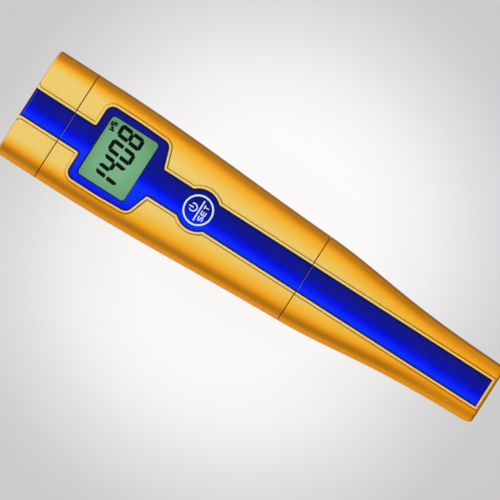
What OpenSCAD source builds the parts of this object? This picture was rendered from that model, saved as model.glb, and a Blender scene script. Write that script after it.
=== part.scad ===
// Pocket conductivity meter: a tapered two-part housing with a pull-off battery cap and electrode cap.
// It lies on its flat back with the display up. X runs across, +Y towards the battery end, +Z up.
// Stations are distances from the battery end, in millimetres.

/* [Outline] */
// Length from the battery end to the tip
total_l = 180; // [176:1:190]
// Width across the battery end
top_w = 40; // [39:0.5:43]
// Station where the sides start to taper
shoulder_s = 23; // [18:1:30]
// Width at the electrode cap's seam
seam_w = 32.8; // [32:0.2:34]
// Width at the waist of the electrode cap
waist_w = 26; // [25:0.2:27]
// Width of the tip
tip_w = 22; // [21.4:0.2:23.6]
// Distance of the waist from the tip
waist_l = 38; // [35:0.5:42]
// Depth from the flat back to the crown of the front
body_d = 30; // [29.5:0.5:32]
// Depth at the waist of the electrode cap
waist_d = 25; // [24.4:0.2:26]
// Depth of the tip
tip_d = 21.4; // [21:0.2:23]
// Radius of the long front edges
front_edge_r = 8; // [6.5:0.5:9]
// Radius of the long back edges
back_edge_r = 9; // [7:0.5:10]
// Radius of the long front edges at the tip
tip_front_r = 4; // [3:0.2:4.2]
// Radius of the long back edges at the tip
tip_back_r = 6.5; // [5:0.5:7]
// Radius of the crown across the front
crown_r = 110; // [90:5:160]
// Rounding of the two ends
end_r = 1.2; // [0.8:0.1:1.8]
// Wall of the mouldings
wall = 2; // [1.8:0.1:2.2]

/* [Seams] */
// Length of the battery cap
battery_cap_l = 15.2; // [14:0.2:17]
// Length of the electrode cap
electrode_cap_l = 72; // [71:0.5:75]
// Open line between the body and each cap
seam_gap = 0.25; // [0.2:0.05:0.4]

/* [Front panel] */
// Width of the blue strip
strip_w = 10.2; // [9:0.2:11]
// Distance from the end of the strip to the tip
strip_end = 2; // [1.6:0.1:3]
// Depth of the recess that holds the panel
recess_d = 0.8; // [0.7:0.05:0.9]
// Thickness of the panel
panel_t = 0.5; // [0.4:0.05:0.55]
// Gap around the panel in its recess
panel_fit = 0.05; // [0.03:0.01:0.1]
// Width of the raised bead around the recess
bead_w = 1; // [0.8:0.1:1.2]
// Height of the raised bead
bead_h = 0.3; // [0.2:0.05:0.4]
// Station of the display field's upper edge
field_s = 23.4; // [22.8:0.2:24.2]
// Width of the display field
field_w = 27.7; // [27:0.1:28.4]
// Length of the display field's straight sides
field_l = 21.6; // [21:0.2:22.2]
// Length over which the field runs into the strip
field_taper_l = 4.8; // [4.2:0.1:5.4]
// Corner radius of the display field
field_corner_r = 2.7; // [2.3:0.1:3.1]
// Radius of the panel's bulge around the key
bulge_r = 7.1; // [6.6:0.1:7.6]
// Fillet where the panel's edges meet
panel_fillet = 0.9; // [0.6:0.1:1.2]

/* [Display] */
// Width of the window
window_w = 22.6; // [22:0.1:23.2]
// Length of the window
window_l = 18.4; // [17.6:0.1:18.8]
// Distance from the field's upper edge to the window
window_edge = 2.5; // [2.2:0.1:3]
// Corner radius of the window
window_corner_r = 1.2; // [0.8:0.1:1.6]
// Gap around the window lens
window_fit = 0.1; // [0.05:0.01:0.15]
// Drop of the lens below the panel
window_drop = 0.3; // [0.2:0.05:0.4]
// Width of the lens flange around the window
flange_w = 1.7; // [1.5:0.1:1.9]
// Thickness of the lens flange
flange_t = 1; // [0.8:0.1:1.2]
// Thickness of the window gasket
gasket_t = 0.4; // [0.3:0.05:0.5]
// Thickness of the display glass
lcd_t = 2; // [1.8:0.1:2.2]
// Wall of the display holder
holder_wall = 1.7; // [1.4:0.1:2]
// Width of the elastomer connectors
elastomer_w = 2; // [1.8:0.1:2.2]

/* [Key] */
// Station of the key's centre
key_s = 66.6; // [65:0.2:68]
// Radius of the white ring
ring_r = 5.2; // [5:0.1:5.4]
// Width of the white ring
ring_w = 0.6; // [0.5:0.05:0.7]
// Gap around the key
key_fit = 0.2; // [0.15:0.05:0.25]
// Travel of the key
key_travel = 0.5; // [0.4:0.05:0.6]
// Overhang of the key's flange
key_flange_w = 1.2; // [1:0.1:1.4]
// Width of the tact switch
switch_w = 6; // [5.6:0.1:6.4]
// Height of the tact switch
switch_h = 3.4; // [3.2:0.1:3.6]
// Radius of the tact switch's plunger
plunger_r = 1.7; // [1.5:0.1:1.8]

/* [Board] */
// Thickness of the board
board_t = 1.6; // [1.4:0.1:1.8]
// Height of the board's upper face as a share of the depth
board_level = 0.64; // [0.635:0.005:0.65]
// Width of the board beside the key
board_w = 20.8; // [20.4:0.1:21]
// Radius of a screw boss
boss_r = 2.2; // [2:0.1:2.4]
// Radius of a board screw
screw_r = 0.75; // [0.6:0.05:0.9]
// Radius of a closing post
post_r = 2; // [1.8:0.1:2.1]

/* [Battery] */
// Radius of a button cell
cell_r = 5.8; // [5.7:0.05:5.8]
// Height of a button cell
cell_h = 5.4; // [5.2:0.05:5.4]
// Number of button cells
cell_count = 4; // [3:1:4]
// Gap between the cells and the board
cell_gap = 0.4; // [0.3:0.05:0.6]
// Wall of the battery tray
tray_wall = 0.8; // [0.7:0.05:0.9]
// Least wall of the port ring around the battery cap's plug
port_wall = 0.75; // [0.7:0.05:0.9]
// Wall of the battery cap's plug
plug_wall = 2; // [1.8:0.1:2.2]
// Length of the plug inside the body
plug_l = 6.2; // [5.8:0.1:6.6]
// Length of the port ring in the body
port_l = 6.6; // [6.4:0.1:7]
// Gap between a plug and its port
port_fit = 0.3; // [0.25:0.05:0.4]
// Thickness of the contact strips
contact_t = 0.3; // [0.25:0.05:0.35]
// Width of the contact strips
contact_w = 2.6; // [2:0.2:3]

/* [Electrode] */
// Radius of the neck's base and of the collar
collar_r = 11.4; // [11.2:0.05:11.5]
// Gap between the neck's base and the cap's bore
cap_fit = 0.4; // [0.35:0.05:0.5]
// Length of the neck's base
base_l = 4.7; // [4.5:0.1:5]
// Radius of the threaded neck
neck_r = 9.5; // [9.3:0.1:9.6]
// Length of the threaded neck
neck_l = 8; // [7.5:0.1:8.5]
// Radius of the sensor's stem
stem_r = 7.5; // [7.2:0.1:7.6]
// Reach of the sensor beyond the electrode cap's seam
sensor_l = 62; // [60:0.5:63]
// Radius of the measuring cell
cell_bore_r = 5.6; // [5.4:0.1:5.8]
// Depth of the measuring cell
cell_bore_l = 13; // [12:0.5:14]
// Radius of an electrode pin
pin_r = 1.2; // [1:0.05:1.25]
// Distance of an electrode pin from the axis
pin_x = 3.6; // [3.5:0.05:3.8]
// Radius of the temperature probe
thermo_r = 1; // [0.9:0.05:1.1]
// Slip gap between pieces that are assembled
slip = 0.1; // [0.08:0.01:0.12]
// Radius of the O-rings' section
oring_r = 0.75; // [0.7:0.01:0.78]

/* [Hidden] */

$fn = 64;
eps = 0.01;
// Overrun of cuts beyond the faces that they open
over = 1;
// Sink of pads, ribs and bosses into the wall that carries them
root = 0.4;
orange = [0.96, 0.66, 0.14];
blue = [0.05, 0.08, 0.72];
black_plastic = [0.12, 0.12, 0.13];
white_plastic = [0.92, 0.92, 0.9];
rubber = [0.08, 0.08, 0.08];
steel = [0.78, 0.79, 0.8];
board_green = [0.1, 0.42, 0.22];

// Resolution of the lofted mouldings
corner_steps = 8;
crown_steps = 8;
body_steps = 14;
cap_steps = 20;
end_steps = 3;
ribbon_steps = 4;

// Stations along the meter
axis_z = body_d / 2;
split_z = body_d / 2;
cap_s = total_l - electrode_cap_l;
body_s0 = battery_cap_l + seam_gap / 2;
body_s1 = cap_s - seam_gap / 2;
cap_s0 = cap_s + seam_gap / 2;
waist_s = total_l - waist_l;
strip_s1 = total_l - strip_end;

// Slopes of the width and depth curves at their knots
seam_slope = -0.07;
waist_slope = -0.205;
tip_slope = -0.03;
waist_depth_slope = -0.15;
tip_depth_slope = -0.03;

// Panel and window levels
window_s0 = field_s + window_edge;
window_s1 = window_s0 + window_l;
window_s = (window_s0 + window_s1) / 2;
pad_t = 1.4;
pad_margin = 0.3;
pad_z = body_d - wall - pad_t;
gasket_z = pad_z - gasket_t;
flange_z = gasket_z - flange_t;
flange_corner_r = 1.4;
lcd_top = flange_z - slip;
lcd_z = lcd_top - lcd_t;
lcd_w = window_w + 2 * (flange_w - pad_margin);
lcd_l = window_l + 2 * (flange_w - pad_margin);
lcd_corner_r = 0.4;
holder_w = lcd_w + 2 * holder_wall;
holder_l = lcd_l + 2 * holder_wall;
holder_corner_r = 1;
holder_bar = 0.8;
elastomer_end = 2;
board_z = board_level * body_d;
board_low = board_z - board_t;
board_margin = 0.6;

// Key levels
key_bore_r = ring_r - ring_w;
key_r = key_bore_r - key_fit;
key_boss_z = pad_z - root;
key_boss_r = ring_r + key_flange_w + root;
key_flange_r = key_bore_r + key_flange_w;
key_flange_t = 1;
key_top_drop = 0.2;
key_rest_gap = 0.05;
key_flange_z1 = key_boss_z - key_rest_gap;
key_z = key_flange_z1 - key_flange_t;
key_oring_r = 0.42;
key_oring_rise = 1.4;
key_oring_z = key_boss_z + key_oring_rise;
ring_rise = 0.2;
plunger_sink = 1;
plunger_z = board_z + switch_h - plunger_sink;
switch_corner_r = 0.4;

// Board plan
board_end_gap = 6.8;
board_s0 = window_s - holder_l / 2 - board_margin;
board_wide_s1 = window_s + holder_l / 2 + board_margin;
board_s1 = body_s1 - board_end_gap;
board_wide_w = holder_w + 2 * board_margin;
boss_x = board_w / 2 - boss_r;
boss_gap = 4.6;
boss_end = 7;
boss_s = [board_wide_s1 + boss_r + boss_gap, board_s1 - boss_end];
screw_grip = 5;
post_gap = 1.6;
post_end = 3;
post_s = [board_wide_s1 + post_r + post_gap, board_s1 - post_end];
post_low = 0.7 * back_edge_r;
peg_l = 3;
crystal_r = 1.3;
crystal_l = 6;
crystal_s = key_s + switch_w / 2 + crystal_r + root;
chip_w = 7;
chip_s = (crystal_s + crystal_r + board_s1) / 2;

// Battery stations
plug_s1 = battery_cap_l + plug_l;
port_s1 = body_s0 + port_l;
port_r = body_d / 2 - wall - port_wall;
plug_r = port_r - port_fit;
battery_oring_s = battery_cap_l + plug_l / 2;
tray_disc_l = 3;
tray_disc_s = plug_s1 - tray_disc_l;
tray_post_r = 3.4;
tray_screw_r = 1;
tray_screw_l = 8;
tray_head_r = 2;
tray_end_t = 1.2;
tray_rim = 2.5;
spring_l = 2.4;
cell_z = board_low - cell_r - cell_gap;
cell_cap_h = 0.9;
cells_s0 = plug_s1 + spring_l;
cells_s1 = cells_s0 + cell_count * cell_h;
tray_s1 = cells_s1 + 2 * slip + contact_t + tray_end_t;
tray_r = cell_r + slip + tray_wall;
contact_x = 3;
leaf_w = 2.4;
leaf_r = 1.5;

// Ribs across the back, beyond the battery tray
rib_gap = 8;
rib_first_s = tray_s1 + rib_gap;
rib_pitch = 11;
rib_count = 4;
rib_t = 1.2;
rib_h = 2.4;

// Electrode stations
port_plate_l = 4.4;
base_s1 = body_s1 + base_l;
neck_s1 = base_s1 + neck_l;
neck_fit = 0.35;
neck_bore_r = stem_r + neck_fit;
cap_bore_r = collar_r + cap_fit;
mouth_step = 0.3;
sensor_flange_l = 2.3;
sensor_head_l = 2;
flange_s1 = neck_s1 + slip + sensor_flange_l;
collar_lip_l = 1.9;
collar_s1 = flange_s1 + slip + collar_lip_l;
sensor_s0 = body_s1 - port_plate_l - sensor_head_l;
sensor_s1 = cap_s + sensor_l;
sensor_oring_s = neck_s1 - neck_l / 2;
tip_step = 0.5;
cell_floor_s = sensor_s1 - cell_bore_l;
cell_slot_s = cell_floor_s + 1.5;
cell_slot_w = 3;
cell_slot_l = 7;
pin_seat = 6;
pin_fit = 0.05;
pin_back = 3;
thermo_back = 4;
// Contacts between the sensor and the board
contact_count = 4;
contact_pitch = 2.54;
contact_pin_r = 0.4;
contact_hole_r = 0.5;
contact_seat = 3;
contact_out = 5;
socket_l = 6.5;
socket_gap = 0.5;
socket_w = 10.8;
socket_drop = 2.4;
// Squeeze of the O-rings in their bores and play in their grooves
oring_squeeze = 0.05;
sensor_squeeze = 0.02;
groove_fit = 0.1;

// Curves of the housing
function y_at(s) = total_l / 2 - s;
function hermite(t, h, a, ma, b, mb) =
    (2 * pow(t, 3) - 3 * pow(t, 2) + 1) * a + (pow(t, 3) - 2 * pow(t, 2) + t) * h * ma
    + (3 * pow(t, 2) - 2 * pow(t, 3)) * b + (pow(t, 3) - pow(t, 2)) * h * mb;
// Each knot is a station, a value and a slope
function curve(s, knots, i = 0) =
    s <= knots[i + 1][0] || i == len(knots) - 2
    ? hermite((s - knots[i][0]) / (knots[i + 1][0] - knots[i][0]), knots[i + 1][0] - knots[i][0],
              knots[i][1], knots[i][2], knots[i + 1][1], knots[i + 1][2])
    : curve(s, knots, i + 1);
width_knots = [[0, top_w, 0], [shoulder_s, top_w, 0], [cap_s, seam_w, seam_slope],
               [waist_s, waist_w, waist_slope], [total_l, tip_w, tip_slope]];
depth_knots = [[0, body_d, 0], [cap_s, body_d, 0], [waist_s, waist_d, waist_depth_slope],
               [total_l, tip_d, tip_depth_slope]];
function half_w(s) = curve(s, width_knots) / 2;
function half_d(s) = curve(s, depth_knots) / 2;
function taper(s, from, to) = s <= cap_s ? from : from + (to - from) * (s - cap_s) / electrode_cap_l;
// Inward step of the rounded ends at a station
function end_inset(s) =
    let (e = min(s, total_l - s)) e >= end_r ? 0 : end_r - sqrt(pow(end_r, 2) - pow(end_r - e, 2));

// Front half of a section, from the right side over the crown to the left, as [x, z]
function front_half(s, inset) =
    let (w = half_w(s) - inset,
         top = axis_z + half_d(s) - inset,
         r = taper(s, front_edge_r, tip_front_r) - inset,
         rc = crown_r - inset,
         rise = sqrt(pow(rc - r, 2) - pow(w - r, 2)),
         centre_z = top - rc + rise,
         phi = atan2(rise, w - r))
    concat(
        [for (i = [0 : corner_steps - 1])
            let (a = phi * i / corner_steps) [w - r + r * cos(a), centre_z + r * sin(a)]],
        [for (i = [0 : crown_steps])
            let (a = phi + (180 - 2 * phi) * i / crown_steps) [rc * cos(a), top - rc + rc * sin(a)]],
        [for (i = [corner_steps - 1 : -1 : 0])
            let (a = phi * i / corner_steps) [-(w - r + r * cos(a)), centre_z + r * sin(a)]]);
// Back half of a section, from the left side under the flat back to the right
function back_half(s, inset) =
    let (w = half_w(s) - inset,
         low = axis_z - half_d(s) + inset,
         r = taper(s, back_edge_r, tip_back_r) - inset)
    concat(
        [for (i = [0 : corner_steps]) let (a = 90 * i / corner_steps)
            [-(w - r + r * cos(a)), low + r - r * sin(a)]],
        [for (i = [corner_steps : -1 : 0]) let (a = 90 * i / corner_steps)
            [w - r + r * cos(a), low + r - r * sin(a)]]);
function section(s, inset) = concat(front_half(s, inset), back_half(s, inset));
// Half sections carried straight down or up to the parting plane
function front_line(s, inset) =
    let (x = half_w(s) - inset) concat([[x, split_z]], front_half(s, inset), [[-x, split_z]]);
function back_line(s, inset) =
    let (x = half_w(s) - inset) concat([[-x, split_z]], back_half(s, inset), [[x, split_z]]);
function lift(points, s) = [for (p = points) [p[0], y_at(s), p[1]]];
function reversed(list) = [for (i = [len(list) - 1 : -1 : 0]) list[i]];
function stations(s0, s1, steps) = [for (i = [0 : steps]) s0 + (s1 - s0) * i / steps];

// Faces between rings of n points each, wound so that the solid lies inside
function ring_faces(rings, n) = [
    for (j = [0 : rings - 2], k = [0 : n - 1])
        let (a = j * n + k, b = j * n + (k + 1) % n)
        each [[a, b + n, b], [a, a + n, b + n]]];
// Solid through rings, closed by a flat face at each end
module loft(rings) {
    n = len(rings[0]);
    last = (len(rings) - 1) * n;
    polyhedron([for (ring = rings) each ring],
        concat(ring_faces(len(rings), n),
               [[for (k = [0 : n - 1]) k]],
               [[for (k = [n - 1 : -1 : 0]) last + k]]));
}
// Open shell between an outer and an inner line, given as [outer, inner] at each station
module shell_loft(sections) {
    m = len(sections[0][0]);
    n = 2 * m;
    last = (len(sections) - 1) * n;
    strip = [for (i = [0 : m - 2]) [i, i + 1, n - 2 - i, n - 1 - i]];
    polyhedron([for (sec = sections) each concat(sec[0], reversed(sec[1]))],
        concat(ring_faces(len(sections), n),
               strip,
               [for (q = strip) [for (k = reversed(q)) last + k]]));
}
// Solid between two stations, from an outline in x and z
module slab(s0, s1)
    translate([0, y_at(s0), 0]) rotate([90, 0, 0]) linear_extrude(s1 - s0) children();
// Solid between two heights, from an outline in x and y
module plate(z0, z1) translate([0, 0, z0]) linear_extrude(z1 - z0) children();
// Round bar along the meter's axis or beside it
module rod(s0, s1, r, x = 0, z = axis_z)
    translate([x, y_at(s0), z]) rotate([90, 0, 0]) cylinder(h = s1 - s0, r = r);
// Upright post
module post(x, s, z0, z1, r) translate([x, y_at(s), z0]) cylinder(h = z1 - z0, r = r);
// O-ring around the meter's axis
module oring(s, centre_r, r)
    translate([0, y_at(s), axis_z]) rotate([90, 0, 0]) rotate_extrude() translate([centre_r, 0]) circle(r);
// Rectangle centred on a station, with round corners
module round_plan(w, l, s, r)
    translate([0, y_at(s)]) {
        square([w - 2 * r, l], center = true);
        square([w, l - 2 * r], center = true);
        for (sx = [-1, 1], sy = [-1, 1])
            translate([sx * (w / 2 - r), sy * (l / 2 - r)]) circle(r);
    }
// Everything below the crown, lowered by a drop
module under_crown(drop)
    translate([0, total_l / 2, body_d - crown_r]) rotate([90, 0, 0])
        cylinder(h = total_l, r = crown_r - drop, $fn = 360);
// Layer between two drops below the crown
module crown_layer(drop0, drop1)
    intersection() {
        difference() {
            under_crown(drop0);
            under_crown(drop1);
        }
        plate(axis_z, body_d + 2 * over) children();
    }

// Outline of the panel on the body, grown by a margin
module panel_outline(grow, s0, s1)
    intersection() {
        offset(r = -panel_fillet, $fn = 40) offset(r = panel_fillet + grow, $fn = 40) {
            translate([-strip_w / 2, y_at(total_l)]) square([strip_w, total_l]);
            hull() {
                for (sx = [-1, 1]) {
                    translate([sx * (field_w / 2 - field_corner_r), y_at(field_s + field_corner_r)])
                        circle(field_corner_r, $fn = 40);
                    translate([sx * (field_w / 2 - field_corner_r), y_at(field_s + field_l)])
                        circle(field_corner_r, $fn = 40);
                }
                translate([-strip_w / 2, y_at(field_s + field_l + field_taper_l)]) square([strip_w, 1]);
            }
            translate([0, y_at(key_s)]) circle(bulge_r, $fn = 72);
        }
        translate([-top_w, y_at(s1)]) square([2 * top_w, s1 - s0]);
    }
// Straight strip outline between two stations, grown by a margin
module strip_outline(grow, s0, s1)
    translate([-strip_w / 2 - grow, y_at(s1)]) square([strip_w + 2 * grow, s1 - s0]);

// Places of the screw bosses and of the closing posts
module at_bosses() for (s = boss_s, sx = [-1, 1]) translate([sx * boss_x, y_at(s), 0]) children();
module at_posts()
    for (s = post_s, sx = [-1, 1])
        translate([sx * (half_w(s) - wall - post_r + root), y_at(s), 0]) children();

module front_shell() color(orange)
    difference() {
        union() {
            shell_loft([for (s = stations(body_s0, body_s1, body_steps))
                [lift(front_line(s, 0), s), lift(front_line(s, wall), s)]]);
            crown_layer(-bead_h, wall / 2) difference() {
                panel_outline(panel_fit + bead_w, body_s0, body_s1);
                panel_outline(panel_fit, body_s0 - over, body_s1 + over);
            }
            plate(pad_z, body_d - wall + root)
                round_plan(window_w + 2 * (flange_w + pad_margin), window_l + 2 * (flange_w + pad_margin),
                           window_s, flange_corner_r + pad_margin);
            post(0, key_s, key_boss_z, body_d - wall + root, key_boss_r);
            at_bosses() translate([0, 0, board_z]) cylinder(h = body_d - wall - board_z + root, r = boss_r);
            at_posts() translate([0, 0, split_z]) cylinder(h = split_z - post_low, r = post_r);
        }
        crown_layer(-over, recess_d) panel_outline(panel_fit, body_s0 - over, body_s1 + over);
        plate(pad_z - over, body_d + over) round_plan(window_w, window_l, window_s, window_corner_r);
        post(0, key_s, key_boss_z - over, body_d + over, key_bore_r);
        at_bosses() translate([0, 0, board_z - over])
            cylinder(h = screw_grip + 2 * over, r = screw_r + pin_fit);
        at_posts() translate([0, 0, split_z - over])
            cylinder(h = peg_l + over + 2 * slip, r = post_r / 2 + slip);
    }

module rear_shell() color(orange) {
    rib_s = [for (i = [0 : rib_count - 1]) rib_first_s + rib_pitch * i];
    shell_loft([for (s = stations(body_s0, body_s1, body_steps))
        [lift(back_line(s, 0), s), lift(back_line(s, wall), s)]]);
    for (s = rib_s)
        intersection() {
            slab(s, s + rib_t) polygon(section(s + rib_t, wall / 2));
            plate(0, wall + rib_h) square(2 * total_l, center = true);
        }
    at_posts() translate([0, 0, post_low]) cylinder(h = split_z - post_low, r = post_r);
    at_posts() translate([0, 0, post_low]) cylinder(h = split_z - post_low + peg_l, r = post_r / 2);
}

module front_panel() color(blue)
    difference() {
        crown_layer(recess_d - panel_t, recess_d) panel_outline(0, body_s0, body_s1);
        plate(0, body_d + over) round_plan(window_w, window_l, window_s, window_corner_r);
        post(0, key_s, 0, body_d + over, ring_r + slip / 2);
    }

module key_ring() color(white_plastic)
    difference() {
        crown_layer(recess_d - panel_t - ring_rise, recess_d) translate([0, y_at(key_s)]) circle(ring_r);
        post(0, key_s, 0, body_d + over, key_bore_r);
    }

module window_gasket() color(rubber)
    plate(gasket_z, pad_z) difference() {
        round_plan(window_w + 2 * flange_w, window_l + 2 * flange_w, window_s, flange_corner_r);
        round_plan(window_w, window_l, window_s, window_corner_r);
    }

module display_window() color([0.8, 0.88, 0.86, 0.5]) {
    plate(flange_z, gasket_z)
        round_plan(window_w + 2 * flange_w, window_l + 2 * flange_w, window_s, flange_corner_r);
    intersection() {
        plate(flange_z + flange_t / 2, body_d)
            round_plan(window_w - 2 * window_fit, window_l - 2 * window_fit, window_s, window_corner_r);
        under_crown(recess_d - panel_t + window_drop);
    }
}

module lcd_glass() color([0.44, 0.66, 0.5])
    plate(lcd_z, lcd_top) round_plan(lcd_w, lcd_l, window_s, lcd_corner_r);

module elastomer_plan(grow)
    for (sy = [-1, 1])
        translate([0, y_at(window_s) + sy * (lcd_l / 2 - elastomer_w)])
            square([lcd_w - 2 * elastomer_end + 2 * grow, elastomer_w + 2 * grow], center = true);

module lcd_holder() color(black_plastic)
    difference() {
        plate(board_z, lcd_top) round_plan(holder_w, holder_l, window_s, holder_corner_r);
        plate(lcd_z, lcd_top + over)
            round_plan(lcd_w + 2 * slip, lcd_l + 2 * slip, window_s, lcd_corner_r + slip);
        plate(board_z - over, lcd_z + over) elastomer_plan(slip);
        plate(board_z - over, lcd_z + over)
            round_plan(lcd_w - 2 * elastomer_end, lcd_l - 4 * elastomer_w - 2 * holder_bar, window_s,
                       lcd_corner_r);
    }

module elastomer_strips() color([0.5, 0.35, 0.4]) plate(board_z, lcd_z) elastomer_plan(0);

module circuit_board() color(board_green)
    difference() {
        plate(board_low, board_z) {
            round_plan(board_wide_w, board_wide_s1 - board_s0, window_s, holder_corner_r);
            translate([-board_w / 2, y_at(board_s1)]) square([board_w, board_s1 - window_s]);
        }
        at_bosses() translate([0, 0, board_low - over])
            cylinder(h = board_t + 2 * over, r = screw_r + 2 * slip);
    }

module processor_chip() color(black_plastic) {
    chip_t = 1.4;
    lead_count = 8;
    lead_pitch = 0.7;
    lead_w = 0.3;
    lead_l = 1.2;
    lead_t = 0.5;
    lead_sink = 0.2;
    plate(board_z + slip, board_z + chip_t)
        translate([0, y_at(chip_s)]) square(chip_w, center = true);
    for (side = [0 : 3], i = [0 : lead_count - 1])
        translate([0, y_at(chip_s), board_z]) rotate(90 * side)
            translate([chip_w / 2 - lead_sink, lead_pitch * (i - (lead_count - 1) / 2) - lead_w / 2, 0])
                cube([lead_l, lead_w, lead_t]);
}

module clock_crystal() color(steel)
    translate([-crystal_l / 2, y_at(crystal_s), board_z + crystal_r])
        rotate([0, 90, 0]) cylinder(h = crystal_l, r = crystal_r);

// Cross slot of a screw head, centred on its axis
module cross_slot(reach, w, depth)
    for (turn = [0, 90])
        rotate(turn) translate([-reach, -w / 2, 0]) cube([2 * reach, w, depth]);

module board_screws() color(steel) {
    head_t = 1.1;
    head_r = boss_r - root;
    slot_d = 0.5;
    at_bosses() {
        translate([0, 0, board_low - head_t]) difference() {
            cylinder(h = head_t, r = head_r);
            translate([0, 0, -over]) cross_slot(0.6 * head_r, root, slot_d + over);
        }
        translate([0, 0, board_low - eps]) cylinder(h = board_t + screw_grip, r = screw_r);
    }
}

module tact_switch() color(black_plastic)
    difference() {
        plate(board_z, board_z + switch_h) round_plan(switch_w, switch_w, key_s, switch_corner_r);
        post(0, key_s, plunger_z - key_travel - slip, board_z + switch_h + over, plunger_r + slip);
    }

module switch_plunger() color(white_plastic) post(0, key_s, plunger_z, key_z, plunger_r);

module key_button() color(blue) {
    groove_r = key_bore_r - oring_squeeze - 2 * key_oring_r - eps;
    groove_h = 2 * (key_oring_r + groove_fit);
    difference() {
        union() {
            intersection() {
                post(0, key_s, key_z + key_flange_t / 2, body_d + over, key_r);
                under_crown(key_top_drop);
            }
            post(0, key_s, key_z, key_flange_z1, key_flange_r);
        }
        translate([0, y_at(key_s), key_oring_z]) rotate_extrude()
            translate([groove_r, -groove_h / 2]) square([key_r, groove_h]);
    }
}

module key_oring() color(rubber)
    translate([0, y_at(key_s), key_oring_z]) rotate_extrude()
        translate([key_bore_r - oring_squeeze - key_oring_r, 0]) circle(key_oring_r);

module battery_port() color(black_plastic)
    difference() {
        slab(body_s0, port_s1) polygon(section(body_s0, wall + slip / 2));
        rod(body_s0 - over, port_s1 + over, port_r);
    }

// Half-round leaf springs under the board that meet the tray's end pads
module battery_leaf_contacts() color(steel) {
    leaf_s = tray_s1 + contact_t + slip;
    leaf_z = cell_z + over;
    back_y = y_at(leaf_s + 2 * leaf_r);
    for (sx = [-1, 1])
        translate([sx * contact_x - leaf_w / 2, 0, 0]) rotate([90, 0, 90]) linear_extrude(leaf_w)
            difference() {
                union() {
                    translate([y_at(leaf_s + leaf_r), leaf_z]) circle(leaf_r);
                    translate([back_y, leaf_z]) square([contact_t, board_low - leaf_z]);
                }
                translate([y_at(leaf_s + leaf_r), leaf_z]) circle(leaf_r - contact_t);
                translate([back_y + contact_t, leaf_z]) square([leaf_r - contact_t, 2 * leaf_r]);
            }
}

// Cup through rings from the outer end over the mouth to the inner floor
module battery_cap() color(orange)
    difference() {
        union() {
            loft(concat(
                [for (i = [0 : end_steps])
                    let (s = end_r * (1 - cos(90 * i / end_steps))) lift(section(s, end_inset(s)), s)],
                [lift(section(body_s0 - seam_gap, 0), body_s0 - seam_gap)],
                [for (s = [body_s0 - seam_gap, wall]) lift(section(s, wall), s)]));
            crown_layer(-bead_h, wall / 2) difference() {
                strip_outline(panel_fit + bead_w, end_r, body_s0 - seam_gap);
                strip_outline(panel_fit, 0, body_s0);
            }
            difference() {
                rod(wall / 2, plug_s1, plug_r);
                rod(wall + root, plug_s1 + over, plug_r - plug_wall);
            }
            rod(wall / 2, tray_disc_s, tray_post_r);
        }
        crown_layer(-over, recess_d) strip_outline(panel_fit, -over, body_s0 + over);
        rod(tray_disc_s - tray_screw_l, tray_disc_s + over, tray_screw_r + pin_fit);
        oring_groove(battery_oring_s, plug_r, port_r - oring_squeeze);
    }
// Groove of an O-ring that seals against an outer bore
module oring_groove(s, shaft_r, bore_r)
    translate([0, y_at(s), axis_z]) rotate([90, 0, 0]) rotate_extrude()
        translate([bore_r - 2 * oring_r - eps, -oring_r - groove_fit])
            square([shaft_r - bore_r + 2 * oring_r + over, 2 * (oring_r + groove_fit)]);

module battery_cap_strip() color(blue)
    crown_layer(recess_d - panel_t, recess_d) strip_outline(0, end_r / 2, body_s0 - seam_gap);

module battery_cap_oring() color(rubber)
    oring(battery_oring_s, port_r - oring_squeeze - oring_r, oring_r);

module battery_tray() color(black_plastic)
    difference() {
        union() {
            rod(tray_disc_s, plug_s1, plug_r - plug_wall - slip);
            rod(plug_s1, tray_s1, tray_r, z = cell_z);
        }
        rod(plug_s1, tray_s1 - tray_end_t, cell_r + slip, z = cell_z);
        translate([-tray_r - over, y_at(tray_s1 + over), cell_z + tray_rim])
            cube([2 * (tray_r + over), tray_s1 + over - plug_s1, tray_r]);
        rod(tray_disc_s - over, plug_s1 + over, tray_screw_r + 2 * slip);
        translate([0, y_at(plug_s1 + contact_t + slip), cell_z - contact_w / 2 - slip])
            cube([2 * tray_r, contact_t + slip, contact_w + 2 * slip]);
    }

module tray_screw() color(steel) {
    head_t = 1.2;
    slot_d = 0.6;
    difference() {
        rod(plug_s1, plug_s1 + head_t, tray_head_r);
        translate([0, y_at(plug_s1 + head_t - slot_d), axis_z]) rotate([90, 0, 0])
            cross_slot(0.6 * tray_head_r, root, slot_d + over);
    }
    rod(tray_disc_s - tray_screw_l + over, plug_s1 + eps, tray_screw_r);
}

module button_cells() color(steel)
    for (i = [0 : cell_count - 1])
        let (s = cells_s0 + i * cell_h) {
            rod(s, s + cell_h - cell_cap_h, cell_r, z = cell_z);
            rod(s + cell_h - cell_cap_h - slip, s + cell_h - slip / 2, cell_r - over, z = cell_z);
        }

// Bowed leaf against the first cell, with a strip along the tray's edge to its end pad
module minus_contact() color(steel) {
    strip_x = tray_r + slip;
    pad_x = contact_x - leaf_w / 2 - 2 * slip;
    bow_x = 1.2;
    bow_w = 2;
    y0 = y_at(plug_s1);
    y1 = y_at(cells_s0 - slip);
    y2 = y_at(tray_s1);
    translate([0, 0, cell_z - contact_w / 2]) linear_extrude(contact_w)
        polygon([[-contact_x, y0], [strip_x + contact_t, y0], [strip_x + contact_t, y2 - contact_t],
                 [pad_x, y2 - contact_t], [pad_x, y2], [strip_x, y2], [strip_x, y0 - contact_t],
                 [-contact_x + 2 * root, y0 - contact_t], [bow_x, y1 + contact_t],
                 [bow_x + bow_w, y1 + contact_t], [bow_x + bow_w, y1], [bow_x - 2 * slip, y1],
                 [-contact_x, y0 - contact_t]]);
}

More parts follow.
